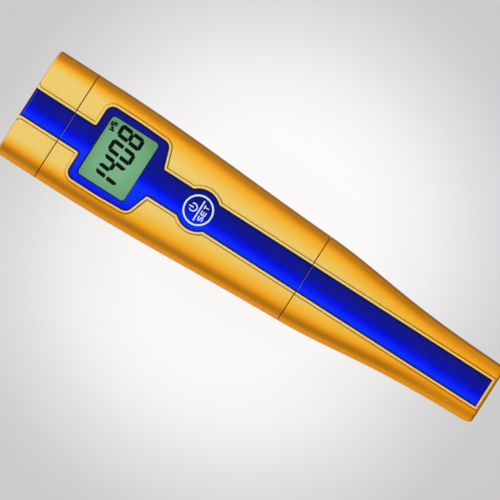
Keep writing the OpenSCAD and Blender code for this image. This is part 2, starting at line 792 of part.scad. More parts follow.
// Plate behind the last cell, folded over the tray's end wall to its pad
module plus_contact() color(steel) {
    top_z = cell_z + tray_rim;
    plate_s = cells_s1 + slip;
    plate_drop = 2.4;
    pad_drop = 0.6;
    translate([-contact_x - contact_w / 2, 0, 0]) rotate([90, 0, 90]) linear_extrude(contact_w) {
        translate([y_at(plate_s + contact_t), cell_z - plate_drop])
            square([contact_t, tray_rim + plate_drop + eps]);
        translate([y_at(tray_s1 + contact_t), top_z])
            square([tray_s1 + contact_t - plate_s, contact_t]);
        translate([y_at(tray_s1 + contact_t), cell_z - pad_drop])
            square([contact_t, tray_rim + pad_drop + eps]);
    }
}

module electrode_port() color(black_plastic)
    difference() {
        union() {
            slab(body_s1 - port_plate_l, body_s1) polygon(section(body_s1, wall + slip / 2));
            rod(body_s1 - over, base_s1, collar_r);
            rod(base_s1 - over, neck_s1, neck_r);
        }
        rod(body_s1 - port_plate_l - over, neck_s1 + over, neck_bore_r);
        oring_groove(body_s1 + base_l / 2, collar_r, cap_bore_r - oring_squeeze);
    }

module electrode_port_oring() color(rubber)
    oring(body_s1 + base_l / 2, cap_bore_r - oring_squeeze - oring_r, oring_r);

// Places of the contacts between the sensor and the board, across the axis
contact_places = [for (i = [0 : contact_count - 1]) contact_pitch * (i - (contact_count - 1) / 2)];

module sensor_body() color([0.2, 0.2, 0.22])
    difference() {
        union() {
            rod(sensor_s0, neck_s1 + slip + over, neck_bore_r - slip);
            rod(neck_s1 + slip, flange_s1, neck_r - slip);
            rod(flange_s1 - over, sensor_s1 - over, stem_r);
            rod(sensor_s1 - over - slip, sensor_s1, stem_r - tip_step);
        }
        rod(cell_floor_s, sensor_s1 + over, cell_bore_r);
        translate([-cell_slot_w / 2, y_at(cell_slot_s + cell_slot_l), axis_z - stem_r - over])
            cube([cell_slot_w, cell_slot_l, 2 * (stem_r + over)]);
        for (sx = [-1, 1])
            rod(cell_floor_s - pin_seat, cell_floor_s + over, pin_r + pin_fit, x = sx * pin_x);
        rod(cell_floor_s - pin_seat, cell_floor_s + over, thermo_r + pin_fit, z = axis_z + pin_x);
        for (x = contact_places)
            rod(sensor_s0 - over, sensor_s0 + contact_seat + 2 * slip, contact_hole_r, x = x);
        oring_groove(sensor_oring_s, neck_bore_r - slip, neck_bore_r - sensor_squeeze);
    }

module sensor_oring() color(rubber)
    oring(sensor_oring_s, neck_bore_r - sensor_squeeze - oring_r, oring_r);

module sensor_collar() color(black_plastic) {
    grip_count = 18;
    grip_r = 0.9;
    grip_out = 0.35;
    grip_start = 1.6;
    difference() {
        rod(base_s1 + slip, collar_s1, collar_r);
        rod(base_s1, flange_s1 + slip, neck_r + slip);
        rod(base_s1, collar_s1 + over, stem_r + slip);
        for (i = [0 : grip_count - 1])
            translate([0, y_at(base_s1 + grip_start), axis_z]) rotate([0, 360 * i / grip_count, 0])
                translate([collar_r + grip_out, 0, 0]) rotate([90, 0, 0])
                    cylinder(h = collar_s1 - base_s1, r = grip_r);
    }
}

module electrode_pins() color([0.3, 0.3, 0.32])
    for (sx = [-1, 1]) rod(cell_floor_s - pin_seat + slip, sensor_s1 - pin_back, pin_r, x = sx * pin_x);

module temperature_probe() color(steel) {
    rod(cell_floor_s - pin_seat + slip, sensor_s1 - thermo_back, thermo_r, z = axis_z + pin_x);
    translate([0, y_at(sensor_s1 - thermo_back), axis_z + pin_x]) sphere(thermo_r);
}

module sensor_contact_pins() color([0.85, 0.7, 0.35])
    for (x = contact_places) rod(sensor_s0 - contact_out, sensor_s0 + contact_seat, contact_pin_r, x = x);

module sensor_socket() color(black_plastic)
    difference() {
        slab(sensor_s0 - socket_gap - socket_l, sensor_s0 - socket_gap)
            translate([-socket_w / 2, axis_z - socket_drop])
                square([socket_w, board_low - axis_z + socket_drop]);
        for (x = contact_places) rod(sensor_s0 - contact_out - over, sensor_s0, contact_hole_r, x = x);
    }

// Crown line of the electrode cap with the bead and the recess across it, as [x, z]
function grooved_crown(s, inset, on) =
    let (top = axis_z + half_d(s) - inset,
         rc = crown_r - inset,
         recess_w = strip_w / 2 + panel_fit,
         half = [[recess_w + bead_w + slip, 0], [recess_w + bead_w - slip, bead_h],
                 [recess_w + slip, bead_h], [recess_w, -recess_d], [strip_w / 4, -recess_d]])
    [for (p = concat(half, [[0, -recess_d]], [for (q = reversed(half)) [-q[0], q[1]]]))
        [p[0], top - rc + sqrt(pow(rc, 2) - pow(p[0], 2)) + on * p[1]]];
// Section of the electrode cap whose crown carries the bead and the recess where on is 1
function cap_section(s, inset, on) =
    let (front = front_half(s, inset))
    concat([for (i = [0 : corner_steps]) front[i]],
           grooved_crown(s, inset, on),
           [for (i = [corner_steps : -1 : 0]) [-front[i][0], front[i][1]]],
           back_half(s, inset));

module electrode_cap() color(orange)
    difference() {
        union() {
            loft(concat(
                [for (s = reversed(stations(cap_s0, total_l - wall - root, cap_steps / 2)))
                    lift(cap_section(s, wall, 0), s)],
                [for (s = stations(cap_s0, strip_s1, cap_steps)) lift(cap_section(s, 0, 1), s)],
                [lift(cap_section(strip_s1 + 2 * eps, 0, 0), strip_s1 + 2 * eps)],
                [for (i = [0 : end_steps])
                    let (s = total_l - end_r * (1 - sin(90 * i / end_steps)))
                    lift(cap_section(s, end_inset(s), 0), s)]));
            slab(cap_s0 + mouth_step, cap_s0 + base_l) polygon(section(cap_s0 + base_l, wall / 2));
        }
        rod(cap_s0 - over, cap_s0 + base_l + over, cap_bore_r);
    }

// Line across the electrode cap's front at the strip's width, lowered by a drop
function strip_line(s, drop) =
    let (top = axis_z + half_d(s) - drop)
    [for (i = [0 : ribbon_steps])
        let (x = strip_w / 2 * (1 - 2 * i / ribbon_steps))
        [x, y_at(s), top - crown_r + sqrt(pow(crown_r, 2) - pow(x, 2))]];

// Ribbon that follows the electrode cap's front in its recess
module electrode_cap_strip() color(blue)
    loft([for (at = stations(cap_s0, strip_s1, cap_steps))
        let (s = min(at, strip_s1 - panel_fit))
        concat(strip_line(s, recess_d - panel_t), reversed(strip_line(s, recess_d)))]);

front_shell();
rear_shell();
front_panel();
key_ring();
window_gasket();
display_window();
lcd_glass();
lcd_holder();
elastomer_strips();
circuit_board();
processor_chip();
clock_crystal();
board_screws();
tact_switch();
switch_plunger();
key_button();
key_oring();
battery_port();
battery_leaf_contacts();
battery_cap();
battery_cap_strip();
battery_cap_oring();
battery_tray();
tray_screw();
button_cells();
minus_contact();
plus_contact();
electrode_port();
electrode_port_oring();
sensor_body();
sensor_oring();
sensor_collar();
electrode_pins();
temperature_probe();
sensor_contact_pins();
sensor_socket();
electrode_cap();
electrode_cap_strip();
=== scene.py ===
from math import acos, asin, atan2, copysign, cos, hypot, pi, radians, sin, sqrt

import bmesh
import bpy
from mathutils import Matrix, Vector
from mathutils.geometry import delaunay_2d_cdt

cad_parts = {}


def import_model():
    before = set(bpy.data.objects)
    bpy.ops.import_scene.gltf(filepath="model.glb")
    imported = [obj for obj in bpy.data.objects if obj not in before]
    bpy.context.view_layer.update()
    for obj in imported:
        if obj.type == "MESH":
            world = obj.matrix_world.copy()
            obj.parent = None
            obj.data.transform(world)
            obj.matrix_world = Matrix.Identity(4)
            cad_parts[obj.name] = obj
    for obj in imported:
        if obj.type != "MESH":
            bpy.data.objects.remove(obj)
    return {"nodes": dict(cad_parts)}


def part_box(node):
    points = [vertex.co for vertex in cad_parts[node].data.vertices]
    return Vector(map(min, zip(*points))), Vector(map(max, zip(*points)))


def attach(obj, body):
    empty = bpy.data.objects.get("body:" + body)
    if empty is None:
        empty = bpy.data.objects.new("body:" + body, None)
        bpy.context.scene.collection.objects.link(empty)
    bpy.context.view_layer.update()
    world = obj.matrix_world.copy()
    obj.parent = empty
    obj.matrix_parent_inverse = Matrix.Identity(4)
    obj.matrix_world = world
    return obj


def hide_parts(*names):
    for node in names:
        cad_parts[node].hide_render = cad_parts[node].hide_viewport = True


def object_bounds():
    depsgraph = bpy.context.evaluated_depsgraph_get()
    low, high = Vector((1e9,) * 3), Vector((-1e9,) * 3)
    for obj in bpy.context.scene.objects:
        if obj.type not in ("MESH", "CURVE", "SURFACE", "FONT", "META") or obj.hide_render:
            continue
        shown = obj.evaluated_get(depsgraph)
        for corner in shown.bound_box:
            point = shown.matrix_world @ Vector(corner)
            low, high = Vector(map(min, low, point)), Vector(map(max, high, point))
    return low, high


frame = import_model()
cad_low, cad_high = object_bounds()

# Looks of a pocket conductivity meter that lies on its back with the display up.
# Sizes are millimetres in the frame of the part's source: X runs across, +Y towards the battery end,
# +Z out of the display. A station is a distance from the battery end.
MM = 0.001
LENGTH = (cad_high.y - cad_low.y) / MM
AXIS_Z = 15

# Form of the housing, with knots of station, value and slope
WIDTH_KNOTS = ((0, 40, 0), (23, 40, 0), (108, 32.8, -0.07), (142, 26, -0.205), (LENGTH, 22, -0.03))
DEPTH_KNOTS = ((0, 30, 0), (108, 30, 0), (142, 25, -0.15), (LENGTH, 21.4, -0.03))
CAP_S = 108
# Edge radii at the body and at the tip
FRONT_EDGE_R = (8, 4)
BACK_EDGE_R = (9, 6.5)
CROWN_R = 110
END_R = 1.2
# How far the tip's corners are rounded in plan, and from which station
TIP_ROUND, TIP_ROUND_S = 0.45, 177
WALL = 2
# A cap's end is thicker than its wall by this
END_EXTRA = 0.4
SEAM_GAP = 0.25
BATTERY_MOUTH_S = 15.075
ELECTRODE_MOUTH_S = CAP_S + SEAM_GAP / 2
BODY_S = (BATTERY_MOUTH_S + SEAM_GAP, CAP_S - SEAM_GAP / 2)
# Softened edge along the seams and the parting line, the stations between, and how dark each is painted:
# painted shade in the seams, and a darker line along the parting line
SEAM_EDGE = 0.12
PLAIN_S = (BODY_S[0] + SEAM_EDGE, BODY_S[1] - SEAM_EDGE)
SEAM_SHADE, PARTING_DARK = 0.9, 0.8

# Front panel, its recess and the bead around it
STRIP_HALF = 5.1
STRIP_END_S = LENGTH - 1.75
RECESS_D = 0.8
# How much darker the recess floor is painted
RECESS_DARK = 0.3
PANEL_DROP = 0.3
# Small round on the film's edges, and the angle from which an edge counts as hard
PANEL_EDGE = 0.06
FILM_ANGLE = 50
# Width of the painted shadow along the panel's edges, at the strip's end and around the window
PANEL_RIM = 0.8
END_RIM = 0.35
WINDOW_RIM = 0.3
FIELD_S = 23.4
FIELD_HALF = 13.85
FIELD_L = 21.6
FIELD_TAPER_L = 4.8
FIELD_CORNER_R = 2.7
# How far the field's long sides close up towards the key, between these stations
FIELD_LEAN = 0.45
FIELD_LEAN_S = (34, 47)
BULGE_R = 7.1
FILLET = 0.9
FILLET_MIN = 0.12
# Stations on the parting plane opposite the ends of the runs along the panel's edge, but for the last
FACING_S = (18.2, 18.9, 21.2, 24.8, 45, 48.2, 51.6, 52.4, 59.4, 60, 73.2, 73.8)
# Bead and groove across the recess's edge: distance from the panel, rise above the crown, and painted
# shading, which is painted shade at the recess wall and in the groove, and below zero a pale painted
# highlight on the bead
BEAD = (
    (0.05, -0.8, 0.9), (0.06, -0.25, 0.9), (0.18, 0.04, 0.6), (0.24, 0.15, -0.6), (0.34, 0.25, -1),
    (0.48, 0.3, -1), (0.6, 0.28, -0.5), (0.74, 0.2, 0), (0.86, 0.06, 0.2), (0.94, -0.12, 0.55),
    (1.06, -0.25, 0.75), (1.18, -0.18, 0.55), (1.26, -0.05, 0.2), (1.34, 0, 0),
)
BEAD_W = BEAD[-1][0]
# Where the groove starts, and how its painted shade changes with the way that it faces
BEAD_TOP = 0.6
GROOVE_TO_TIP, GROOVE_TO_BATTERY = 0.75, 0.85

# Display and key
WINDOW_S = 35.1
WINDOW_HALF = (11.3, 9.2)
WINDOW_CORNER_R = 1.2
LCD_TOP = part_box("lcd_glass")[1].z / MM
KEY_S = 66.6
KEY_DROP = 0.2
KEY_BORE_R = 4.6
RING_R = 5.2
RING_FIT = 0.05


def y_at(s):
    """Y of a station, in metres."""
    return (LENGTH / 2 - s) * MM


def curve(s, knots):
    """Smooth curve through knots of station, value and slope."""
    for (s0, a, slope_a), (s1, b, slope_b) in zip(knots, knots[1:]):
        if s <= s1:
            break
    span = s1 - s0
    t = (s - s0) / span
    return (
        (2 * t**3 - 3 * t**2 + 1) * a
        + (t**3 - 2 * t**2 + t) * span * slope_a
        + (3 * t**2 - 2 * t**3) * b
        + (t**3 - t**2) * span * slope_b
    )


def half_width(s):
    return curve(s, WIDTH_KNOTS) / 2


def edge_radius(s, ends):
    share = max(0, (s - CAP_S) / (LENGTH - CAP_S))
    return ends[0] + (ends[1] - ends[0]) * share


def end_inset(s):
    """Inward step of the rounded ends at a station."""
    e = min(s, LENGTH - s)
    return 0 if e >= END_R else END_R - sqrt(END_R**2 - (END_R - e) ** 2)


def smoothstep(t):
    t = min(max(t, 0), 1)
    return t * t * (3 - 2 * t)


def eased(value, first, last):
    return smoothstep((value - first) / (last - first))


def spread(first, last, steps):
    """Even steps from a first to a last value."""
    return [first + (last - first) * i / steps for i in range(steps + 1)]


class FrontPath:
    """Right half of a section's front, by length from the crown's middle to the parting plane."""

    def __init__(self, s, inset=0):
        self.w = half_width(s) - inset
        self.top = AXIS_Z + curve(s, DEPTH_KNOTS) / 2 - inset
        self.r = edge_radius(s, FRONT_EDGE_R) - inset
        self.crown_r = CROWN_R - inset
        self.corner_x = self.w - self.r
        rise = sqrt((self.crown_r - self.r) ** 2 - self.corner_x**2)
        self.phi = atan2(rise, self.corner_x)
        self.corner_z = self.top - self.crown_r + rise
        self.crown_l = self.crown_r * (pi / 2 - self.phi)
        self.corner_l = self.r * self.phi
        self.length = self.crown_l + self.corner_l + self.corner_z - AXIS_Z

    def at(self, length):
        if length <= self.crown_l:
            a = length / self.crown_r
            return self.crown_r * sin(a), self.top - self.crown_r * (1 - cos(a))
        beyond = length - self.crown_l
        if beyond <= self.corner_l:
            a = self.phi - beyond / self.r
            return self.corner_x + self.r * cos(a), self.corner_z + self.r * sin(a)
        return self.w, self.corner_z - (beyond - self.corner_l)

    def length_at(self, x):
        if x <= self.crown_r * cos(self.phi):
            return self.crown_r * asin(x / self.crown_r)
        return self.crown_l + self.r * (self.phi - acos(min(1, (x - self.corner_x) / self.r)))

    def height(self, x):
        return self.at(self.length_at(abs(x)))[1]

    def crown(self, x):
        return self.top - self.crown_r + sqrt(self.crown_r**2 - x**2)


def back_path(s, inset):
    """Right half of a section's back as (x, z), from below the parting plane to the back's middle."""
    side_steps, corner_steps, flat_steps = 4, 14, 5
    w = half_width(s) - inset
    low = AXIS_Z - curve(s, DEPTH_KNOTS) / 2 + inset
    r = edge_radius(s, BACK_EDGE_R) - inset
    return (
        [(w, z) for z in spread(AXIS_Z, low + r, side_steps)[1:-1]]
        + [(w - r + r * cos(a), low + r - r * sin(a)) for a in spread(0, pi / 2, corner_steps)]
        + [((w - r) * (1 - i / flat_steps), low) for i in range(1, flat_steps + 1)]
    )


# Width of the band along the housing's edge in which the painted shading changes the orange, how far the
# band lies off centre, and the height over which that shift sets in
TONE_REACH = 12
TONE_SHIFT = 0.6
TONE_FADE = 6
# Beyond this distance from the edge, the painted shading closes up towards the battery end, between these
# stations
TONE_KNEE = 4
TONE_CLOSE_S = (60, 10)
# Deeper than this below the surface, the plastic has one plain colour, without painted shading
SKIN = 1.5


def turn(x, s, z):
    """How far a point has turned from the flat of the front, 0, to the sides, the back and the inside, 1,
    for the painted shading.
    """
    path = FrontPath(s)
    side = min(abs(x), path.w)
    if z <= AXIS_Z or min(path.w - side, path.height(side) - z) > SKIN:
        return 1
    shift = TONE_SHIFT * min(1, (z - AXIS_Z) / TONE_FADE)
    from_edge = path.w - abs(x - shift)
    from_edge += max(0, from_edge - TONE_KNEE) * eased(s, *TONE_CLOSE_S)
    return min(1, max(0, 1 - from_edge / TONE_REACH, end_inset(s) / END_R))


# Painted shade along the right edge of the front and around the tip's end: how dark it is, how far in it
# reaches, and over what width and height it fades
EDGE_SHADE = 0.95
EDGE_REACH, EDGE_FADE = 1.15, 0.6
TIP_REACH, TIP_FADE = 1.0, 0.7
SIDE_FADE = 4
# A point nearer to the tip than this lies on the end's flat face, which gets no painted shade
FACE_REACH = 0.01


def edge_dirt(x, s, z):
    """Painted shade on a point of the housing's surface near the right edge or the tip's end."""
    path = FrontPath(s)
    from_tip = LENGTH - s
    edge = smoothstep((EDGE_REACH - (path.w - x)) / EDGE_FADE)
    tip = smoothstep((TIP_REACH - from_tip) / TIP_FADE) if from_tip > FACE_REACH else 0
    return EDGE_SHADE * max(edge, tip) * smoothstep((z - path.corner_z) / SIDE_FADE + 1)


def linked(name, data):
    """New object in the scene."""
    made = bpy.data.objects.new(name, data)
    bpy.context.scene.collection.objects.link(made)
    return made


class Piece:
    """Gathers the faces of one mesh from points of x, station, height and painted shading."""

    def __init__(self):
        self.bm = bmesh.new()
        self.dirt, self.turn = (self.bm.verts.layers.float.new(name) for name in ("dirt", "turn"))

    def points(self, points):
        made = []
        for x, s, z, *given in points:
            v = self.bm.verts.new((x * MM, y_at(s), z * MM))
            dirt = given[0] if given else 0
            # Painted shading given with the point, else the painted shade along the right edge and around
            # the tip
            v[self.dirt] = dirt if dirt < 0 else max(dirt, edge_dirt(x, s, z))
            v[self.turn] = turn(x, s, z)
            made.append(v)
        return made

    def fill(self, points):
        self.bm.faces.new(self.points(points))

    def strips(self, rows, closed=False):
        """Faces between rows of equal length, each closed to a ring or left open."""
        made = [self.points(row) for row in rows]
        for a, b in zip(made, made[1:]):
            count = len(a)
            for i in range(count if closed else count - 1):
                k = (i + 1) % count
                self.bm.faces.new((a[i], a[k], b[k], b[i]))
        return made

    def loft(self, rings):
        """Closed solid through rings, with a flat face at each end."""
        made = self.strips(rings, closed=True)
        self.bm.faces.new(made[0])
        self.bm.faces.new(made[-1])

    def tube(self, outer, inner, z0, z1):
        """Upright wall between two loops of (x, s) with equal counts."""
        corners = ((outer, z0), (outer, z1), (inner, z1), (inner, z0), (outer, z0))
        self.strips([[(x, s, z) for x, s in loop] for loop, z in corners], closed=True)

    def turned(self, profile, count=96):
        """Closed ring turned around the meter's axis from (station, radius) points."""
        angles = [2 * pi * k / count for k in range(count)]
        rings = [[(r * cos(a), s, AXIS_Z + r * sin(a)) for s, r in profile] for a in angles]
        self.strips(rings + rings[:1], closed=True)

    def finish(self, name, body, slot, *replaced, angle=38, look=None):
        """Makes the object, with its slot's finish unless another look is named."""
        merge = 2e-6
        bmesh.ops.remove_doubles(self.bm, verts=self.bm.verts, dist=merge)
        bmesh.ops.dissolve_degenerate(self.bm, edges=self.bm.edges, dist=merge)
        bmesh.ops.recalc_face_normals(self.bm, faces=self.bm.faces)
        mesh = bpy.data.meshes.new(name)
        self.bm.to_mesh(mesh)
        self.bm.free()
        mesh.shade_smooth()
        mesh.set_sharp_from_angle(angle=radians(angle))
        mesh.materials.append(FINISHES[look or slot])
        piece = linked(name, mesh)
        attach(piece, body)
        if replaced:
            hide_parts(*replaced)
        return piece


# Outlines in plan, as (x, station)
def line(a, b, count):
    """Even steps from a to b, without a itself."""
    return list(zip(spread(a[0], b[0], count), spread(a[1], b[1], count)))[1:]


def arc(x, s, r, a0, a1, count):
    return [(x + r * cos(a), s + r * sin(a)) for a in spread(a0, a1, count)[1:]]


def circle(x, s, r, count=72):
    return arc(x, s, r, 0, 2 * pi, count)


def round_rect(s, half_x, half_s, r):
    """Rectangle with round corners around a station."""
    steps = 8
    loop = []
    for k, (sx, ss) in enumerate(((1, 1), (-1, 1), (-1, -1), (1, -1))):
        x, c = sx * (half_x - r), s + ss * (half_s - r)
        start = loop[-1] if loop else (half_x, s - half_s + r)
        a = pi / 2 * k
        loop += line(start, (x + r * cos(a), c + r * sin(a)), steps)
        loop += arc(x, c, r, a, a + pi / 2, steps)
    return loop


def window_loop(grow, r=WINDOW_CORNER_R):
    """Outline of the display window, grown outwards."""
    return round_rect(WINDOW_S, WINDOW_HALF[0] + grow, WINDOW_HALF[1] + grow, r)


def panel_side(grow):
    """Right edge of the panel on the body, grown outwards, with the same count of points at any growth.
    Returns the points and, for each, the station that it faces on the parting plane."""
    s0, s1 = PLAIN_S
    a = STRIP_HALF + grow
    f = max(FILLET - grow, FILLET_MIN)
    corner_x = FIELD_HALF - FIELD_CORNER_R
    r = FIELD_CORNER_R + grow
    side_s = FIELD_S + FIELD_L
    # The taper runs from the field's lower corner to the strip, along a line with this normal
    to_strip = STRIP_HALF - corner_x
    normal = atan2(FIELD_TAPER_L, to_strip) - acos(FIELD_CORNER_R / hypot(to_strip, FIELD_TAPER_L))
    nx, ns = cos(normal), sin(normal)
    taper_s = side_s + (r + f - nx * (a + f - corner_x)) / ns
    bulge_r = BULGE_R + grow
    q = sqrt((bulge_r + f) ** 2 - (a + f) ** 2)
    beta = atan2(q, -(a + f))
    top = FIELD_S - grow
    runs = (
        line((a, s0), (a, top - f), 6),
        arc(a + f, top - f, f, pi, pi / 2, 6),
        line((a + f, top), (corner_x, top), 8),
        arc(corner_x, FIELD_S + FIELD_CORNER_R, r, -pi / 2, 0, 12),
        line((corner_x + r, FIELD_S + FIELD_CORNER_R), (corner_x + r, side_s), 16),
        arc(corner_x, side_s, r, 0, normal, 10),
        line((corner_x + r * nx, side_s + r * ns), (a + f - f * nx, taper_s - f * ns), 8),
        arc(a + f, taper_s, f, normal + pi, pi, 6),
        line((a, taper_s), (a, KEY_S - q), 6),
        arc(a + f, KEY_S - q, f, pi, beta, 6),
        arc(0, KEY_S, bulge_r, atan2(-q, a + f), atan2(q, a + f), 18),
        arc(a + f, KEY_S + q, f, -beta, -pi, 6),
        line((a, KEY_S + q), (a, s1), 20),
    )
    points, facing = [(a, s0)], [s0]
    for run, target in zip(runs, FACING_S + (s1,)):
        facing += spread(facing[-1], target, len(run))[1:]
        points += run
    leaning = []
    for x, s in points:
        reach = min(1, (x - a) / (FIELD_HALF - STRIP_HALF)) if s < taper_s else 0
        leaning.append((x - FIELD_LEAN * reach * eased(s, *FIELD_LEAN_S), s))
    return leaning, facing


def inside(p, loops):
    """True where a point lies in an odd number of the loops."""
    hit = False
    for loop in loops:
        for (x0, y0), (x1, y1) in zip(loop, loop[1:] + loop[:1]):
            if (y0 > p[1]) != (y1 > p[1]) and p[0] < x0 + (x1 - x0) * (p[1] - y0) / (y1 - y0):
                hit = not hit
    return hit


def filled(loops, spacing, margin):
    """Triangles over the region between loops, with a grid of points inside it."""
    points, edges = [], []
    for loop in loops:
        first = len(points)
        points += [Vector(p) for p in loop]
        edges += [(first + i, first + (i + 1) % len(loop)) for i in range(len(loop))]
    border = points[:]
    grid = []
    for values in zip(*loops[0]):
        low, high = min(values), max(values)
        grid.append(spread(low, high, max(2, round((high - low) / spacing)))[1:-1])
    for x in grid[0]:
        for s in grid[1]:
            p = Vector((x, s))
            if inside(p, loops) and min((p - b).length_squared for b in border) > margin**2:
                points.append(p)
    epsilon = 1e-6
    verts, _, faces, *_ = delaunay_2d_cdt(points, edges, [], 0, epsilon)
    triangles = [[verts[i] for i in f] for f in faces]
    return [t for t in triangles if inside(sum(t, Vector((0, 0))) / len(t), loops)]


def body_crown(x, drop):
    """Height of the body's crown at x, lowered by a drop."""
    return 2 * AXIS_Z - CROWN_R + sqrt((CROWN_R - drop) ** 2 - x**2)


# Bosses, posts, ribs and pads inside the housing
BOARD_Z = 19.2
BOSS_R = 2.2
SCREW_R = 0.9
BOSSES = [(side * 8.2, s) for s in (54.8, 94.1) for side in (1, -1)]
# The closing posts are sunk into the side walls
POST_R = 2
POST_SINK = 0.4
POSTS = [(side * (half_width(s) - WALL - POST_R + POST_SINK), s) for s in (51.6, 98.1) for side in (1, -1)]
POST_LOW = 6.3
POST_TOP = 23.7
POST_GAP = 0.02
PEG_R = 1
PEG_L = 3
PEG_FIT = 0.1
RIBS_S = (55.1, 66.1, 77.1, 88.1)
RIB_T, RIB_H = 1.2, 2.4
PAD_Z = 26.6
PAD_ROOT_Z = 28.3
PAD_MARGIN = 2
PAD_CORNER_R = 1.7
KEY_BOSS_R = 6.7
KEY_BOSS_DROP = 0.4
# Steps down a side, across a seam's recess, around a seam's inside and around a post
SIDE_COLUMNS = 30
SEAM_STEPS = 6
SKIN_STEPS = 40
POST_SIDES = 32


def groove_shade_share(before, after):
    """Share of the groove's painted shade by the way that it faces: less to the battery end, more to the
    tip.
    """
    along = Vector(after) - Vector(before)
    to_tip = -along.x / along.length
    return 1 + (GROOVE_TO_TIP if to_tip > 0 else GROOVE_TO_BATTERY) * to_tip


def front_shell():
    """Front half of the body: bead, groove and recess around the panel, and the openings in it."""
    piece = Piece()
    window = window_loop(0)
    bore = circle(0, KEY_S, KEY_BORE_R)
    # Where the bead starts to settle onto the rounded edge, and over what width
    settle_from, settle_l = 0.3, 0.9
    floor_edge = []
    rim_ends = ([], [])
    for side in (1, -1):
        rows = []
        for grow, rise, dirt in BEAD:
            edge, facing = panel_side(grow)
            settle = smoothstep((grow - settle_from) / settle_l)
            row = []
            for (x, s), before, after in zip(edge, edge[:1] + edge, edge[1:] + edge[-1:]):
                path = FrontPath(s)
                z = path.crown(x) + (path.height(x) - path.crown(x)) * settle + rise
                # The groove's painted shade is lighter where it faces the battery end
                share = groove_shade_share(before, after) if grow > BEAD_TOP else 1
                row.append((side * x, s, z, dirt * share))
            rows.append(row)
        for j in range(1, SIDE_COLUMNS + 1):
            row = []
            for (x, s), target in zip(edge, facing):
                share = j / SIDE_COLUMNS
                at_s = s + (target - s) * share
                path, first = FrontPath(at_s), FrontPath(s)
                start = first.length_at(x) / first.length
                end = 1 - SEAM_EDGE / path.length
                px, pz = path.at((start + (end - start) * share) * path.length)
                row.append((side * px, at_s, pz))
            rows.append(row)
        rows.append([(side * (half_width(s) - SEAM_EDGE), s, AXIS_Z, PARTING_DARK) for s in facing])
        # Each row gets one more point at both seams, set in by the softened edge
        whole = []
        for row in rows:
            ends = []
            for (x, s, z, *_), seam in ((row[0], BODY_S[0]), (row[-1], BODY_S[1])):
                path = FrontPath(s)
                low = z < path.corner_z
                inward = side * SEAM_EDGE if low and abs(x) > path.corner_x else 0
                ends.append((x - inward, seam, z - (0 if low else SEAM_EDGE), SEAM_SHADE))
            whole.append([ends[0]] + row + [ends[1]])
        piece.strips(whole)
        floor_edge.append([p[:2] for p in whole[0]])
        for rim, k in zip(rim_ends, (0, -1)):
            rim.append([row[k] for row in whole])
        # Parting face
        stations = [BODY_S[0]] + facing + [BODY_S[1]]
        piece.strips([whole[-1], [(side * (half_width(s) - WALL), s, AXIS_Z) for s in stations]])

    def floor_point(x, s):
        sunk = SEAM_EDGE if min(abs(s - seam) for seam in BODY_S) < SEAM_EDGE / 2 else 0
        return x, s, body_crown(x, 0) - RECESS_D - sunk

    right, left = floor_edge
    outline = right + line(right[-1], left[-1], SEAM_STEPS)[:-1]
    outline += left[::-1] + line(left[0], right[0], SEAM_STEPS)[:-1]
    for tri in filled([outline, window, bore], spacing=1.6, margin=0.5):
        piece.fill([floor_point(*p) for p in tri])

    # Inner skin, laid out by length around the section
    def laid(p):
        return copysign(FrontPath(p[1], WALL).length_at(abs(p[0])), p[0]), p[1]

    def inner_point(l, s):
        path = FrontPath(s, WALL)
        x, z = path.at(min(abs(l), path.length))
        return copysign(x, l), s, z

    near = [(FrontPath(s, WALL).length, s) for s in stations]
    far = [(-l, s) for l, s in near[::-1]]
    skin = near + line(near[-1], far[0], SKIN_STEPS)[:-1] + far + line(far[-1], near[0], SKIN_STEPS)[:-1]
    for tri in filled([skin, [laid(p) for p in window], [laid(p) for p in bore]], spacing=2, margin=0.6):
        piece.fill([inner_point(*p) for p in tri])
    for loop in (window, bore):
        piece.strips([[floor_point(*p) for p in loop], [inner_point(*laid(p)) for p in loop]], closed=True)
    # Seam faces
    for rim, seam in zip(rim_ends, BODY_S):
        over = [floor_point(rim[0][0][0] * (1 - 2 * i / SEAM_STEPS), seam) for i in range(1, SEAM_STEPS)]
        length = FrontPath(seam, WALL).length
        under = [inner_point(l, seam) for l in spread(-length, length, SKIN_STEPS)]
        piece.fill(rim[0][::-1] + over + rim[1] + under)

    # Pad around the window, boss of the key, screw bosses and closing posts
    piece.tube(window_loop(PAD_MARGIN, PAD_CORNER_R), window, PAD_Z, PAD_ROOT_Z)
    piece.tube(circle(0, KEY_S, KEY_BOSS_R), bore, PAD_Z - KEY_BOSS_DROP, PAD_ROOT_Z)
    round_walls = [(p, BOSS_R, SCREW_R, BOARD_Z, PAD_ROOT_Z) for p in BOSSES]
    round_walls += [(p, POST_R, PEG_R + PEG_FIT, AXIS_Z + POST_GAP, POST_TOP) for p in POSTS]
    for p, outer, inner, z0, z1 in round_walls:
        piece.tube(circle(*p, outer, POST_SIDES), circle(*p, inner, POST_SIDES), z0, z1)
    piece.finish("front_moulding", "housing", "orange_plastic", "front_shell")


